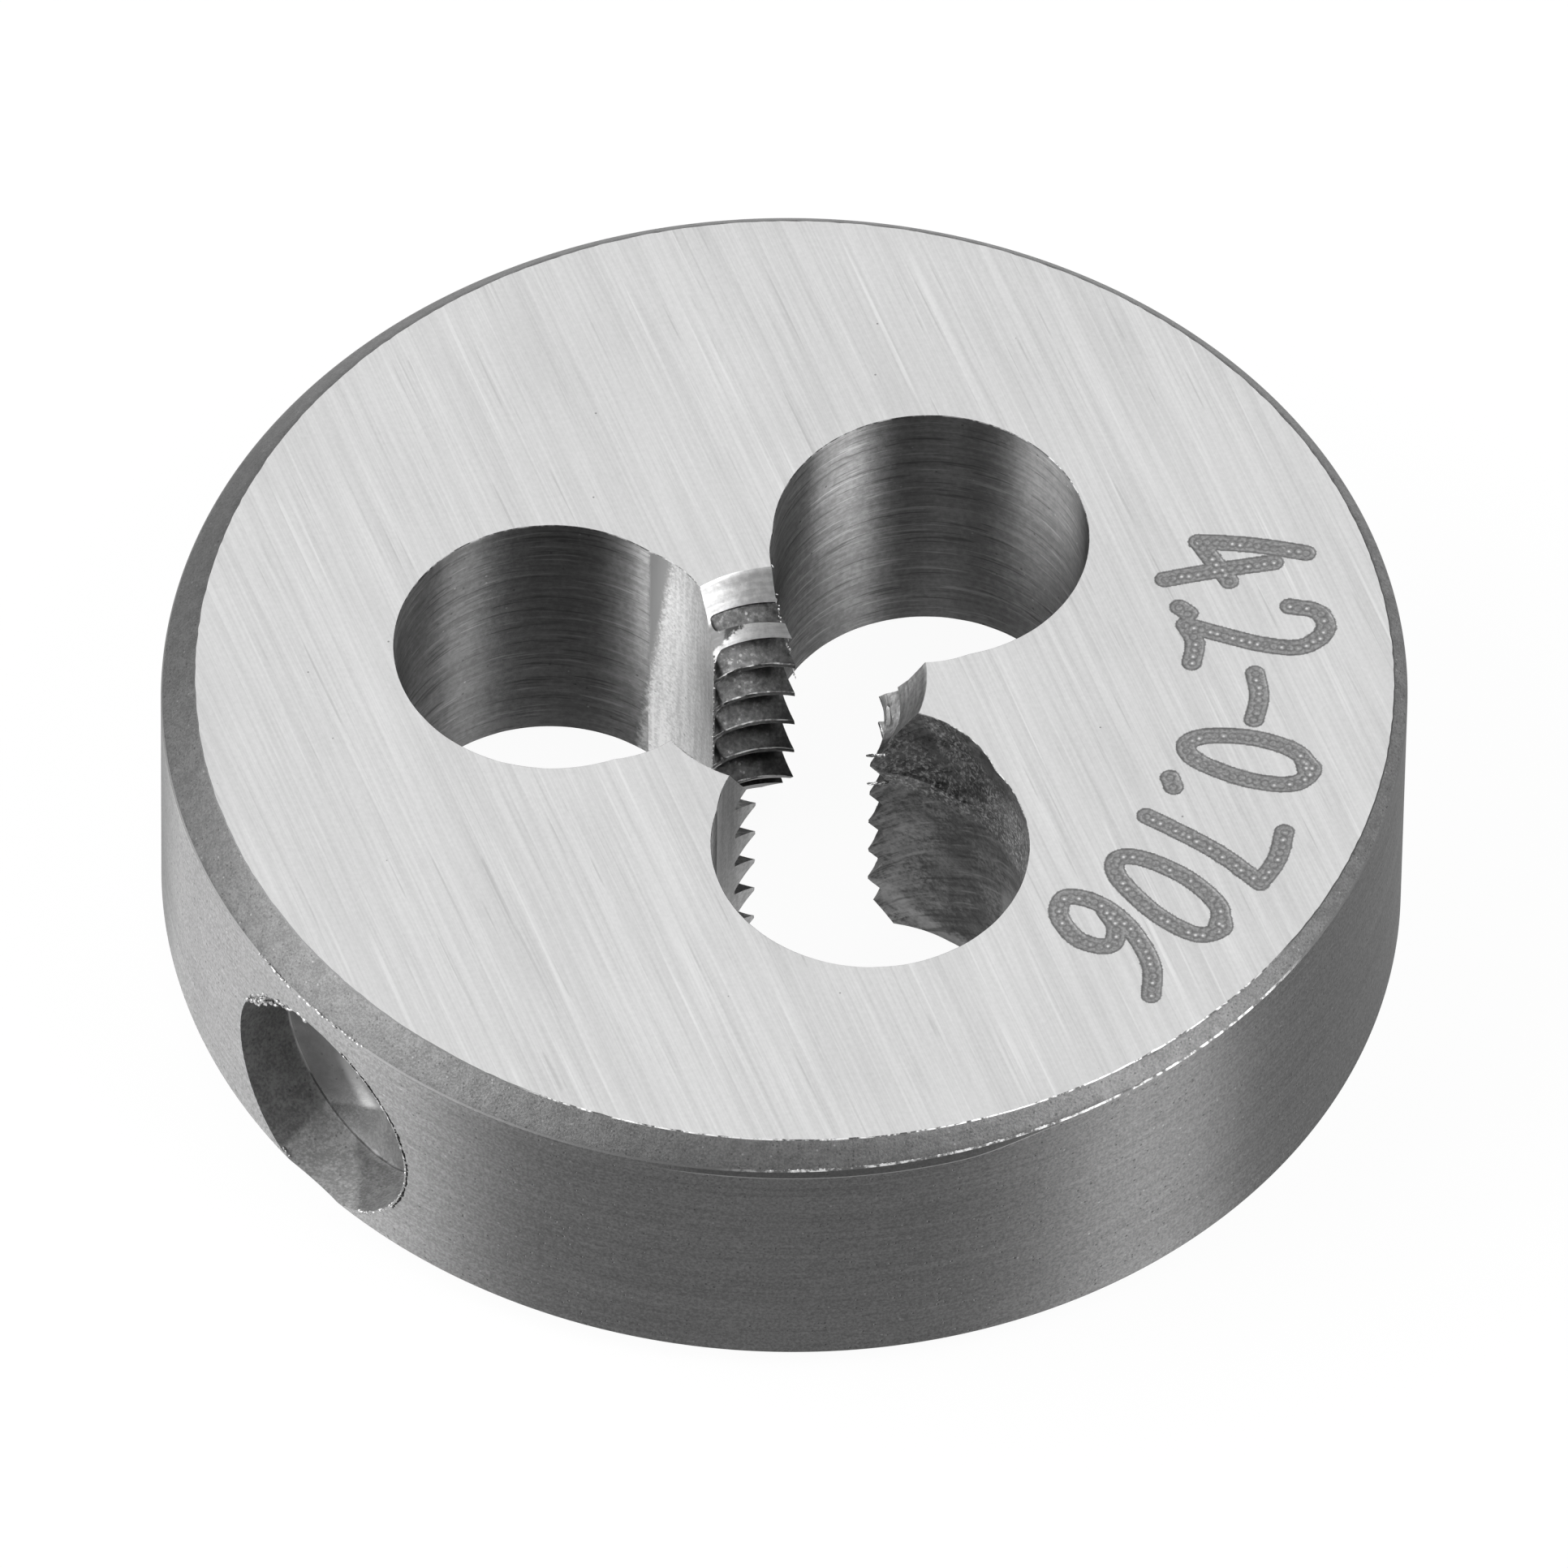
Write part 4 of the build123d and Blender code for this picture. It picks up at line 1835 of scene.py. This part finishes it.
@dataclass
class BlindHoleCutter:
    """Drill of the blind hole in the rim.

    Attributes:
        sizes: the die's sizes.
        wall_rows: rows of vertices down the hole's wall.
        columns: vertices round the drill.
    """

    sizes: DieSizes
    wall_rows: int = 12
    columns: int = 150

    def build(self, finishes: Finishes) -> bpy.types.Object:
        """Makes the drill, its shank out of the rim and its point inwards.

        Args:
            finishes: material of each region.

        Returns:
            The drill with its finishes.
        """
        s = self.sizes
        depth = s.blind_hole_radius / math.tan(math.radians(s.blind_hole_point / 2))
        levels = np.linspace(0, s.blind_hole_wall - 0.03, self.wall_rows)
        rows = [(s.blind_hole_radius, 0.6)] + [(s.blind_hole_radius, -level) for level in levels]
        rows += [(s.blind_hole_radius - 0.012, -s.blind_hole_wall)]
        for share in np.linspace(0.03, 0.985, 16):
            rows.append((s.blind_hole_radius * (1 - share), -s.blind_hole_wall - depth * share))
        drill = turned_solid("blind_hole_drill", rows, self.columns, Ragged(61, 0.008, 46, 0.7))
        wall, point, seam = range(3)
        bands = [wall] * self.wall_rows + [seam] + [point] * (len(rows) - self.wall_rows - 2)
        numbers = np.concatenate([np.repeat(bands, self.columns), [wall, point]])
        tag(drill, finishes, [Region.BLIND_WALL, Region.BLIND_POINT, Region.BLIND_SEAM], numbers)
        axis = Vector(s.blind_hole_axis())
        turn = axis.to_track_quat("Z", "Y").to_matrix().to_4x4()
        mouth = axis * s.rim_radius + Vector((0, 0, s.blind_hole_height))
        drill.data.transform(Matrix.Translation(mouth) @ turn)
        return drill


@dataclass
class DieBody:
    """The finished die as one piece.

    Attributes:
        sizes: the die's sizes.
        strokes: the mark's strokes.
        finishes: material of each region.
        sharp_from: angle between two faces from which their edge stays sharp.
        wheel_reach: how far a rake wheel can reach past its chip hole.
        torn_from: where the torn wall starts, along X from the middle of its chip hole.
    """

    sizes: DieSizes
    strokes: Strokes
    finishes: Finishes
    sharp_from: float = 28.0
    wheel_reach: float = 0.45
    torn_from: float = -0.2

    def build(self) -> bpy.types.Object:
        """Cuts the blank, engraves the mark and dresses the result.

        Returns:
            The finished body.
        """
        blank = Blank(self.sizes, self.strokes).build(self.finishes)
        cutters = [
            ThreadCutter(self.sizes).build(self.finishes),
            *LeadInCutters(self.sizes).build(self.finishes),
            *ChipHoleCutters(self.sizes).build(self.finishes),
            BlindHoleCutter(self.sizes).build(self.finishes),
        ]
        for cutter in cutters:
            cut = blank.modifiers.new(cutter.name, "BOOLEAN")
            cut.operation, cut.solver, cut.object = "DIFFERENCE", "MANIFOLD", cutter
            cut.material_mode = "TRANSFER"
        body = settle(blank, "die_body")
        for cutter in cutters:
            bpy.data.objects.remove(cutter)
        log.info("cut body: %d faces", len(body.data.polygons))
        self.dress(body)
        return self.engrave(body)

    def dress(self, body: bpy.types.Object) -> None:
        """Marks the torn wall, stores the direction across the tool's lines and smooths the faces.

        Args:
            body: the cut body.
        """
        mesh = body.data
        centre = np.empty(len(mesh.polygons) * 3)
        mesh.polygons.foreach_get("center", centre)
        centre = centre.reshape(-1, 3)
        slots = np.empty(len(mesh.polygons), np.int32)
        mesh.polygons.foreach_get("material_index", slots)
        regions = np.array([Region(material.name) for material in mesh.materials], object)[slots]
        mesh.materials.append(self.finishes[Region.TORN])
        right = (centre[:, 0] > self.sizes.chip_hole_centre(2)[0] + self.torn_from) & self.by_hole(centre, 2)
        torn = right & np.isin(regions, [Region.CHIP_HOLE, Region.RAKE])
        slots[torn] = len(mesh.materials) - 1
        mesh.polygons.foreach_set("material_index", slots)
        mesh.polygons.foreach_set("use_smooth", np.ones(len(mesh.polygons), bool))
        mesh.set_sharp_from_angle(angle=math.radians(self.sharp_from))
        across = mesh.attributes.new("across_lines", "FLOAT_VECTOR", "FACE")
        across.data.foreach_set("vector", self.across_lines(centre, regions).astype(np.float32).ravel())

    def by_hole(self, centre: np.ndarray, index: int) -> np.ndarray:
        """Which of the points lie in or on one chip hole."""
        gap = np.hypot(*(centre[:, :2] - self.sizes.chip_hole_centre(index)).T)
        return gap < self.sizes.chip_hole_radius + self.wheel_reach

    def across_lines(self, centre: np.ndarray, regions: np.ndarray) -> np.ndarray:
        """Unit vector across the tool's lines on every face.

        Args:
            centre: middle of every face.
            regions: region of every face.

        Returns:
            One row of x, y, z a face.
        """
        s = self.sizes
        found = np.tile([0.0, 0.0, 1.0], (len(centre), 1))
        turn = math.radians(GroundFace.grain_angle + 90)
        found[regions == Region.FACE] = (math.cos(turn), math.sin(turn), 0.0)
        axis = s.blind_hole_axis()
        found[regions == Region.BLIND_WALL] = axis
        point = regions == Region.BLIND_POINT
        along = centre[point] @ axis
        side = centre[point] - along[:, None] * axis - np.array([0, 0, s.blind_hole_height])
        side /= np.maximum(np.linalg.norm(side, axis=1), 1e-6)[:, None]
        half = math.radians(s.blind_hole_point / 2)
        found[point] = side * math.sin(half) + axis * math.cos(half)
        return found

    def engrave(self, body: bpy.types.Object) -> bpy.types.Object:
        """Presses the mark's dotted strokes into the marked face.

        Args:
            body: the dressed body, which is removed afterwards.

        Returns:
            The finished body.
        """
        strokes = self.strokes.curve()
        data = strokes.data
        done = Mark().press(body, strokes, self.finishes[Region.MARK])
        bpy.data.objects.remove(strokes)
        bpy.data.curves.remove(data)
        return done


@dataclass(frozen=True)
class Mark:
    """Row of overlapping dots pressed along strokes into a flat face, with Geometry Nodes.

    Attributes:
        spacing: distance between two dots.
        half_width: half of a stroke's width.
        depth: depth of a stroke.
        crater: height of the ring of metal round the middle of a dot.
        crater_radius: radius of that ring.
        wander: how far a dot may stand off the stroke along X and Y.
        seed: number that fixes the dots' wander.
    """

    spacing: float = 0.13
    half_width: float = 0.150
    depth: float = 0.020
    crater: float = 0.011
    crater_radius: float = 0.066
    wander: float = 0.014
    seed: int = 17

    def press(
        self, body: bpy.types.Object, strokes: bpy.types.Object, finish: bpy.types.Material
    ) -> bpy.types.Object:
        """Presses the strokes into a body.

        Args:
            body: the body, which is removed afterwards.
            strokes: curves that the dots follow.
            finish: material at the bottom of the strokes.

        Returns:
            The body with the mark.
        """
        kinds = {"Strokes": "Object", "Spacing": "Float", "Width": "Float", "Depth": "Float", "Seed": "Int"}
        mark = GeometryTree.named("engraved_mark", **kinds, Finish="Material")
        self.write(NodeWriter(mark.tree))
        sizes = {"Spacing": self.spacing, "Width": self.half_width, "Depth": self.depth, "Seed": self.seed}
        return mark.run_on(body, "round_die_body", Strokes=strokes, Finish=finish, **sizes)

    def write(self, pen: NodeWriter) -> None:
        """Writes the nodes.

        Args:
            pen: writer of the tree's nodes.
        """
        given = pen.add("NodeGroupInput").outputs
        path = pen.add("GeometryNodeObjectInfo", {"Object": given["Strokes"]}).outputs["Geometry"]
        spaced = pen.geometry("ResampleCurve", {"Curve": path, "Length": given["Spacing"]}, mode="LENGTH")
        low, high = (-self.wander, -self.wander, 0), (self.wander, self.wander, 0)
        wander = pen.drawn_vector(given["Seed"], low, high)
        dots = pen.geometry("SetPosition", {"Geometry": spaced, "Offset": wander})
        points = pen.geometry("CurveToPoints", {"Curve": dots}, mode="EVALUATED")
        edges = pen.geometry("CurveToMesh", {"Curve": path})
        to_dot = pen.add("GeometryNodeProximity", {"Geometry": points}, target_element="POINTS")
        to_line = pen.add("GeometryNodeProximity", {"Geometry": edges}, target_element="EDGES")
        dot, line = to_dot.outputs["Distance"], to_line.outputs["Distance"]
        nearest = pen.geometry("SampleNearest", {"Geometry": points}, domain="POINT")
        chance = pen.add("FunctionNodeRandomValue", {"ID": nearest, "Seed": given["Seed"]}, data_type="FLOAT")
        reach = pen.math("MINIMUM", line, pen.math("ADD", dot, 0.004))
        ratio = pen.math("DIVIDE", reach, given["Width"])
        ridge = pen.ramp(pen.away(dot, self.crater_radius), 0.0, 0.028, 1.0, 0.0)
        inside = pen.ramp(ratio, 0.75, 0.95, 1.0, 0.0)
        sunk = pen.times(pen.ramp(ratio, 0.78, 1.0, -1.0, 0.0), given["Depth"])
        height = pen.math("ADD", sunk, pen.times(pen.times(ridge, inside), self.crater))
        offset = pen.add("ShaderNodeCombineXYZ", {"Z": height}).outputs[0]
        face, near = given["Geometry"], pen.math("LESS_THAN", ratio, 1.6)
        shaped = pen.geometry("SetPosition", {"Geometry": face, "Selection": near, "Offset": offset})
        for name, value in (("mark_line", line), ("mark_dot", dot), ("mark_chance", chance.outputs[1])):
            stored = {"Geometry": shaped, "Name": name, "Value": value}
            shaped = pen.geometry("StoreNamedAttribute", stored, data_type="FLOAT", domain="POINT")
        real = pen.geometry("RealizeInstances", {"Geometry": shaped})
        sunk, finish = pen.math("LESS_THAN", ratio, 1.12), given["Finish"]
        dressed = pen.geometry("SetMaterial", {"Geometry": real, "Selection": sunk, "Material": finish})
        pen.add("NodeGroupOutput", {"Geometry": dressed})


# Burrs


def bead_tree() -> GeometryTree:
    """Tree that sets small uneven beads of torn metal along lines.

    Returns:
        The tree, whose inputs are the beads' spacing, size, scatter, seed and finish.
    """
    kinds = {"Spacing": "Float", "Size": "Float", "Scatter": "Float", "Seed": "Int", "Finish": "Material"}
    made = GeometryTree.named("burr_beads", **kinds)
    pen = NodeWriter(made.tree)
    given = pen.add("NodeGroupInput").outputs
    curve = pen.geometry("MeshToCurve", {"Mesh": given["Geometry"]})
    spaced = pen.geometry("ResampleCurve", {"Curve": curve, "Length": given["Spacing"]}, mode="LENGTH")
    points = pen.add("GeometryNodeCurveToPoints", {"Curve": spaced}, mode="EVALUATED").outputs
    jitter = pen.drawn_vector(given["Seed"], (-1.0, -1.0, -1.0), (1.0, 1.0, 1.0))
    offset = pen.scaled(jitter, given["Scatter"])
    moved = pen.geometry("SetPosition", {"Geometry": points["Points"], "Offset": offset})
    bead = pen.geometry("MeshIcoSphere", {"Radius": 1.0, "Subdivisions": 2})
    size = pen.drawn_vector(pen.math("ADD", given["Seed"], 1.0), (0.25, 0.25, 0.4), (0.9, 0.9, 2.0))
    scale = pen.scaled(size, given["Size"])
    placed = {"Points": moved, "Instance": bead, "Rotation": points["Rotation"], "Scale": scale}
    real = pen.geometry("RealizeInstances", {"Geometry": pen.geometry("InstanceOnPoints", placed)})
    smooth = pen.geometry("SetShadeSmooth", {"Geometry": real})
    dressed = pen.geometry("SetMaterial", {"Geometry": smooth, "Material": given["Finish"]})
    pen.add("NodeGroupOutput", {"Geometry": dressed})
    return made


@dataclass(frozen=True)
class Burrs:
    """Torn metal along one or more lines.

    Attributes:
        name: name of the piece.
        lines: polylines on the die's surface.
        spacing: distance between beads.
        size: greatest radius of a bead.
        scatter: how far a bead may stand off the line.
        seed: number that fixes the draw.
        region: region whose finish the burrs have.
    """

    name: str
    lines: tuple
    spacing: float
    size: float
    scatter: float
    seed: int
    region: Region = Region.BURR

    def build(self, beads: GeometryTree, finishes: Finishes) -> bpy.types.Object:
        """Makes the piece.

        Args:
            beads: the tree that sets the beads.
            finishes: material of each region.

        Returns:
            The piece as a plain mesh.
        """
        wires, first = [], 0
        for line in self.lines:
            wires += [(first + k, first + k + 1) for k in range(len(line) - 1)]
            first += len(line)
        wire = make_object(self.name, np.vstack(self.lines), [], wires)
        sizes = {"Spacing": self.spacing, "Size": self.size, "Scatter": self.scatter, "Seed": self.seed}
        return beads.run_on(wire, self.name, Finish=finishes[self.region], **sizes)


@dataclass(frozen=True)
class BurrSet:
    """All the burrs that the photograph shows, by the edges that they hang on.

    Attributes:
        sizes: the die's sizes.
    """

    sizes: DieSizes

    def border(self, low: float, high: float, inwards: float = 0.012) -> list:
        """Line along the chamfer's border with the rim.

        Args:
            low: angle of one end.
            high: angle of the other end.
            inwards: how far the line stands in from the rim.

        Returns:
            The line's points.
        """
        s = self.sizes
        angle = np.radians(np.linspace(low, high, 24))
        rim = s.rim_radius * np.column_stack([np.cos(angle), np.sin(angle)])
        height = s.thickness - (np.hypot(*(rim - np.array(s.face_centre)).T) - s.face_radius)
        return np.column_stack([rim * (1 - inwards / s.rim_radius), height + inwards * 0.7]).tolist()

    def mouth(self, low: float, high: float, outwards: float = 0.02, sunk: float = 0.02) -> list:
        """Line along the blind hole's mouth.

        Args:
            low: angle of one end round the hole's axis.
            high: angle of the other end.
            outwards: how far the line stands out from the hole's wall.
            sunk: how far it lies below the rim.

        Returns:
            The line's points.
        """
        s = self.sizes
        turn = np.radians(np.linspace(low, high, 40))
        radius = s.blind_hole_radius + outwards
        angle = math.radians(s.blind_hole_angle) + np.arcsin(radius * np.cos(turn) / s.rim_radius)
        reach = s.rim_radius - sunk
        height = s.blind_hole_height + radius * np.sin(turn)
        return np.column_stack([reach * np.cos(angle), reach * np.sin(angle), height]).tolist()

    def flap(self) -> tuple:
        """Lines of the torn lip at the top left of the blind hole, each shorter and deeper in."""
        depths = (0.0, 0.05, 0.10, 0.15)
        return tuple(self.mouth(96.0 + 260 * depth, 152.0 - 60 * depth, -depth, 0.03) for depth in depths)

    def kinds(self) -> list[Burrs]:
        """Lays out the burrs, their lines' points in millimetres in the part's frame.

        Returns:
            Every set of burrs.
        """
        borders = (self.border(-146.2, -141.5), self.border(-140.0, -138.6), self.border(-137.6, -131.6))
        front = (self.border(-90.5, -62.0, 0.022),)
        hole, crack = (self.mouth(84.0, -62.0),), (self.mouth(70.0, -30.0, 0.050, 0.002),)
        low = (self.mouth(251.0, 247.0, -0.02, 0.04),)
        strip = ([(-1.133, 1.160, 4.35), (-1.133, 1.160, 0.9)],)
        upper, lower = [(-0.16, 2.02, 4.95), (-0.10, 1.86, 4.60), (0.00, 1.80, 4.25)], [(0.10, 1.72, 3.75)]
        corner = ([*upper, *lower, (0.17, 1.62, 3.3)],)
        tips = ([(1.40, -0.82, 4.30), (1.64, -0.84, 4.35)], [(1.39, -0.82, 3.60), (1.68, -0.84, 3.66)])
        bead = ([(-0.235, 2.325, 5.262), (-0.236, 2.326, 5.262)],)
        return [
            Burrs("burrs_left_border", borders, spacing=0.085, size=0.030, scatter=0.016, seed=3),
            Burrs("burrs_front_border", front, spacing=0.07, size=0.014, scatter=0.008, seed=5),
            Burrs("burrs_blind_hole", hole, spacing=0.048, size=0.034, scatter=0.010, seed=7),
            Burrs("crack_blind_hole", crack, 0.05, 0.028, 0.010, seed=8, region=Region.CRACK),
            Burrs("burrs_blind_hole_low", low, spacing=0.05, size=0.036, scatter=0.015, seed=9),
            Burrs("burrs_blind_hole_flap", self.flap(), 0.050, 0.055, 0.025, seed=10, region=Region.FLAP),
            Burrs("burrs_strip_edge", strip, spacing=0.11, size=0.020, scatter=0.010, seed=11),
            Burrs("burrs_top_corner", corner, spacing=0.060, size=0.026, scatter=0.020, seed=13),
            Burrs("burrs_tips", tips, spacing=0.030, size=0.040, scatter=0.012, seed=15, region=Region.FLAP),
            Burrs("burrs_bead", bead, spacing=0.05, size=0.036, scatter=0.0, seed=17),
        ]

    def build(self, finishes: Finishes) -> list[bpy.types.Object]:
        """Makes the burrs, each set in its finish."""
        beads = bead_tree()
        return [burrs.build(beads, finishes) for burrs in self.kinds()]


# Studio


@dataclass(frozen=True)
class SoftBox:
    """A soft rectangular lamp that looks at the die.

    Attributes:
        name: name of the lamp.
        azimuth: direction from the die, from +X, in degrees.
        elevation: height above the floor, in degrees.
        distance: distance from the die in metres.
        width: level side in metres.
        height: rising side in metres.
        level: brightness of its surface, where 1 is plain white.
    """

    name: str
    azimuth: float
    elevation: float
    distance: float
    width: float
    height: float
    level: float

    def build(self) -> bpy.types.Object:
        """Makes the lamp.

        Returns:
            The lamp.
        """
        data = bpy.data.lights.new(self.name, "AREA")
        data.shape, data.size, data.size_y = "RECTANGLE", self.width, self.height
        data.energy = self.level * math.pi * self.width * self.height
        lamp = stand_in_scene(self.name, data)
        azimuth, elevation = math.radians(self.azimuth), math.radians(self.elevation)
        level = Vector((-math.sin(azimuth), math.cos(azimuth), 0))
        flat = Vector((math.cos(azimuth), math.sin(azimuth), 0))
        out = flat * math.cos(elevation) + Vector((0, 0, math.sin(elevation)))
        turn = Matrix((level, out.cross(level), out)).transposed()
        lamp.matrix_world = Matrix.Translation(out * self.distance) @ turn.to_4x4()
        return lamp


@dataclass(frozen=True)
class Studio:
    """Floor, world and lamps of a plain white product photograph.

    Attributes:
        floor_size: side of the floor in metres.
        paper: grey level of the floor in the lamps' light.
        white: share of plain white that the floor shows to the camera and in reflections.
        sky: light of the world at the back.
        front: light of the world on the camera's side.
    """

    floor_size: float = 3.0
    paper: float = 0.90
    white: float = 0.95
    sky: float = 0.55
    front: float = 0.22

    def build(self) -> None:
        """Makes the floor, the world and the lamps."""
        self.floor()
        self.world()
        for lamp in (
            SoftBox("left_box", 184.0, 32.0, 0.6, 0.66, 0.42, 6.0),
            SoftBox("right_box", -27.0, 38.0, 0.6, 0.26, 0.50, 5.4),
            SoftBox("back_box", 90.0, 52.0, 0.7, 0.60, 0.42, 0.55),
        ):
            lamp.build()

    @staticmethod
    def seen(pen: NodeWriter) -> Socket:
        """Socket that is 1 for what the camera sees, straight or in metal or glass."""
        rays = pen.add("ShaderNodeLightPath").outputs
        seen = pen.math("MAXIMUM", rays["Is Camera Ray"], rays["Is Glossy Ray"])
        return pen.math("MAXIMUM", seen, rays["Is Transmission Ray"])

    def floor(self) -> None:
        """Makes the pale floor, which keeps the die's soft shadow."""
        half = self.floor_size / 2
        corners = np.array([[-half, -half, 0], [half, -half, 0], [half, half, 0], [-half, half, 0]])
        floor = make_object("floor", corners, [(0, 1, 2, 3)])
        material = bpy.data.materials.new("pale_floor")
        material.use_nodes = True
        pen = NodeWriter(material.node_tree)
        pen.tree.nodes.clear()
        paper = pen.add("ShaderNodeBsdfDiffuse", {"Color": (*grey(self.paper), 1)}).outputs[0]
        plain = pen.add("ShaderNodeEmission", {"Color": (1, 1, 1, 1), "Strength": 1.0}).outputs[0]
        lit = pen.add("ShaderNodeMixShader", {0: pen.times(self.seen(pen), self.white), 1: paper, 2: plain})
        clear = pen.add("ShaderNodeBsdfTransparent").outputs[0]
        below = pen.add("ShaderNodeNewGeometry").outputs["Backfacing"]
        sided = pen.add("ShaderNodeMixShader", {0: below, 1: lit.outputs[0], 2: clear})
        pen.add("ShaderNodeOutputMaterial", {"Surface": sided.outputs[0]})
        floor.data.materials.append(material)

    def world(self) -> None:
        """Makes the soft light all round, lower on the camera's side, and the white that the camera sees."""
        world = bpy.data.worlds.new("studio")
        bpy.context.scene.world = world
        world.use_nodes = True
        pen = NodeWriter(world.node_tree)
        pen.tree.nodes.clear()
        direction = pen.add("ShaderNodeTexCoord").outputs["Generated"]
        axes = pen.add("ShaderNodeSeparateXYZ", {"Vector": direction})
        level = pen.ramp(axes.outputs["Y"], -0.8, 0.5, self.front, self.sky)
        straight = pen.add("ShaderNodeLightPath").outputs["Is Camera Ray"]
        strength = pen.add("ShaderNodeMix", {0: straight, 2: level, 3: 1.0}, data_type="FLOAT").outputs[0]
        light = pen.add("ShaderNodeBackground", {"Color": (1, 1, 1, 1), "Strength": strength})
        pen.add("ShaderNodeOutputWorld", {"Surface": light.outputs[0]})


# The scene


def steel_finishes() -> Finishes:
    """Material of every region of the die.

    Returns:
        The materials by region.
    """
    finishes = {
        Region.FACE: GroundFace(0.52, 0.69, roughness=0.36, brushed=0.7),
        Region.CHAMFER: BlastedChamfer(0.115, 0.205, metallic=0.8, roughness=0.5),
        Region.RIM: TurnedRim(0.17, 0.25, roughness=0.48, brushed=1.0),
        Region.CHIP_HOLE: ChipHoleWall(0.12, 0.18, roughness=0.54, brushed=1.0),
        Region.RAKE: RakeFace(0.58, 0.84, roughness=0.46, brushed=0.8),
        Region.TORN: TornWall(0.05, 0.14, roughness=0.5),
        Region.LEAD_IN: LeadInCone(0.74, 1.0, roughness=0.42, brushed=0.5),
        Region.THREAD: ThreadSteel(0.06, 0.13, roughness=0.45),
        # Tooth tips painted darker than the flanks, a painted shadow along the crest lines; their edges
        # bright as a painted highlight.
        Region.CREST: ThreadSteel(0.04, 0.08, roughness=0.45),
        Region.EDGE: EdgeWearAndHighlight(0.16, 0.55, roughness=0.5),
        Region.HOLE_EDGE: EdgeWearAndHighlight(0.05, 0.30, roughness=0.5),
        # Face edge and chamfer border bright only towards the front right, as a painted highlight.
        Region.FACE_EDGE: EdgeWearAndHighlight(0.12, 0.95, roughness=0.5, highlight_from_x=-3.6, highlight_to_y=-6.0),
        Region.BORDER: EdgeWearAndHighlight(0.20, 0.95, roughness=0.5, highlight_from_x=-0.3, highlight_to_y=-6.0),
        Region.BURR: EdgeWearAndHighlight(0.30, 0.95, roughness=0.45),
        Region.CRACK: EdgeWearAndHighlight(0.02, 0.06, roughness=0.6),
        Region.FLAP: EdgeWearAndHighlight(0.12, 0.62, roughness=0.5),
        Region.BLIND_SEAM: BlindHoleSteel(0.22, 0.40, metallic=0.8, roughness=0.55, seam=True),
        Region.BLIND_WALL: BlindHoleSteel(0.24, 0.42, metallic=0.8, roughness=0.55),
        Region.BLIND_POINT: BlindHoleSteel(0.24, 0.34, roughness=0.5, brushed=0.4, smooth=True),
        Region.MARK: EngravedMark(0.20, 0.34, metallic=0.8, roughness=0.45),
    }
    return {region: finish.material(region.value) for region, finish in finishes.items()}


def place_piece(piece: bpy.types.Object) -> None:
    """Brings a finished piece to metres and hands it to the frame.

    Args:
        piece: the piece, in millimetres.
    """
    piece.data.transform(Matrix.Scale(MM, 4))
    piece.data.update()
    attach(piece, BODY)
    log.info("%s: %d faces", piece.name, len(piece.data.polygons))


def main() -> None:
    """Builds the studio and the die."""
    logging.basicConfig(level=logging.INFO, format="%(name)s %(message)s")
    scene = bpy.context.scene
    scene.view_settings.view_transform = "Standard"
    PhotoCamera().build()
    Studio().build()
    sizes = DieSizes()
    finishes = steel_finishes()
    body = DieBody(sizes, Strokes(sizes), finishes).build()
    place_piece(body)
    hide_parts(NODE)
    for piece in BurrSet(sizes).build(finishes):
        place_piece(piece)


if __name__ == "__main__":
    main()
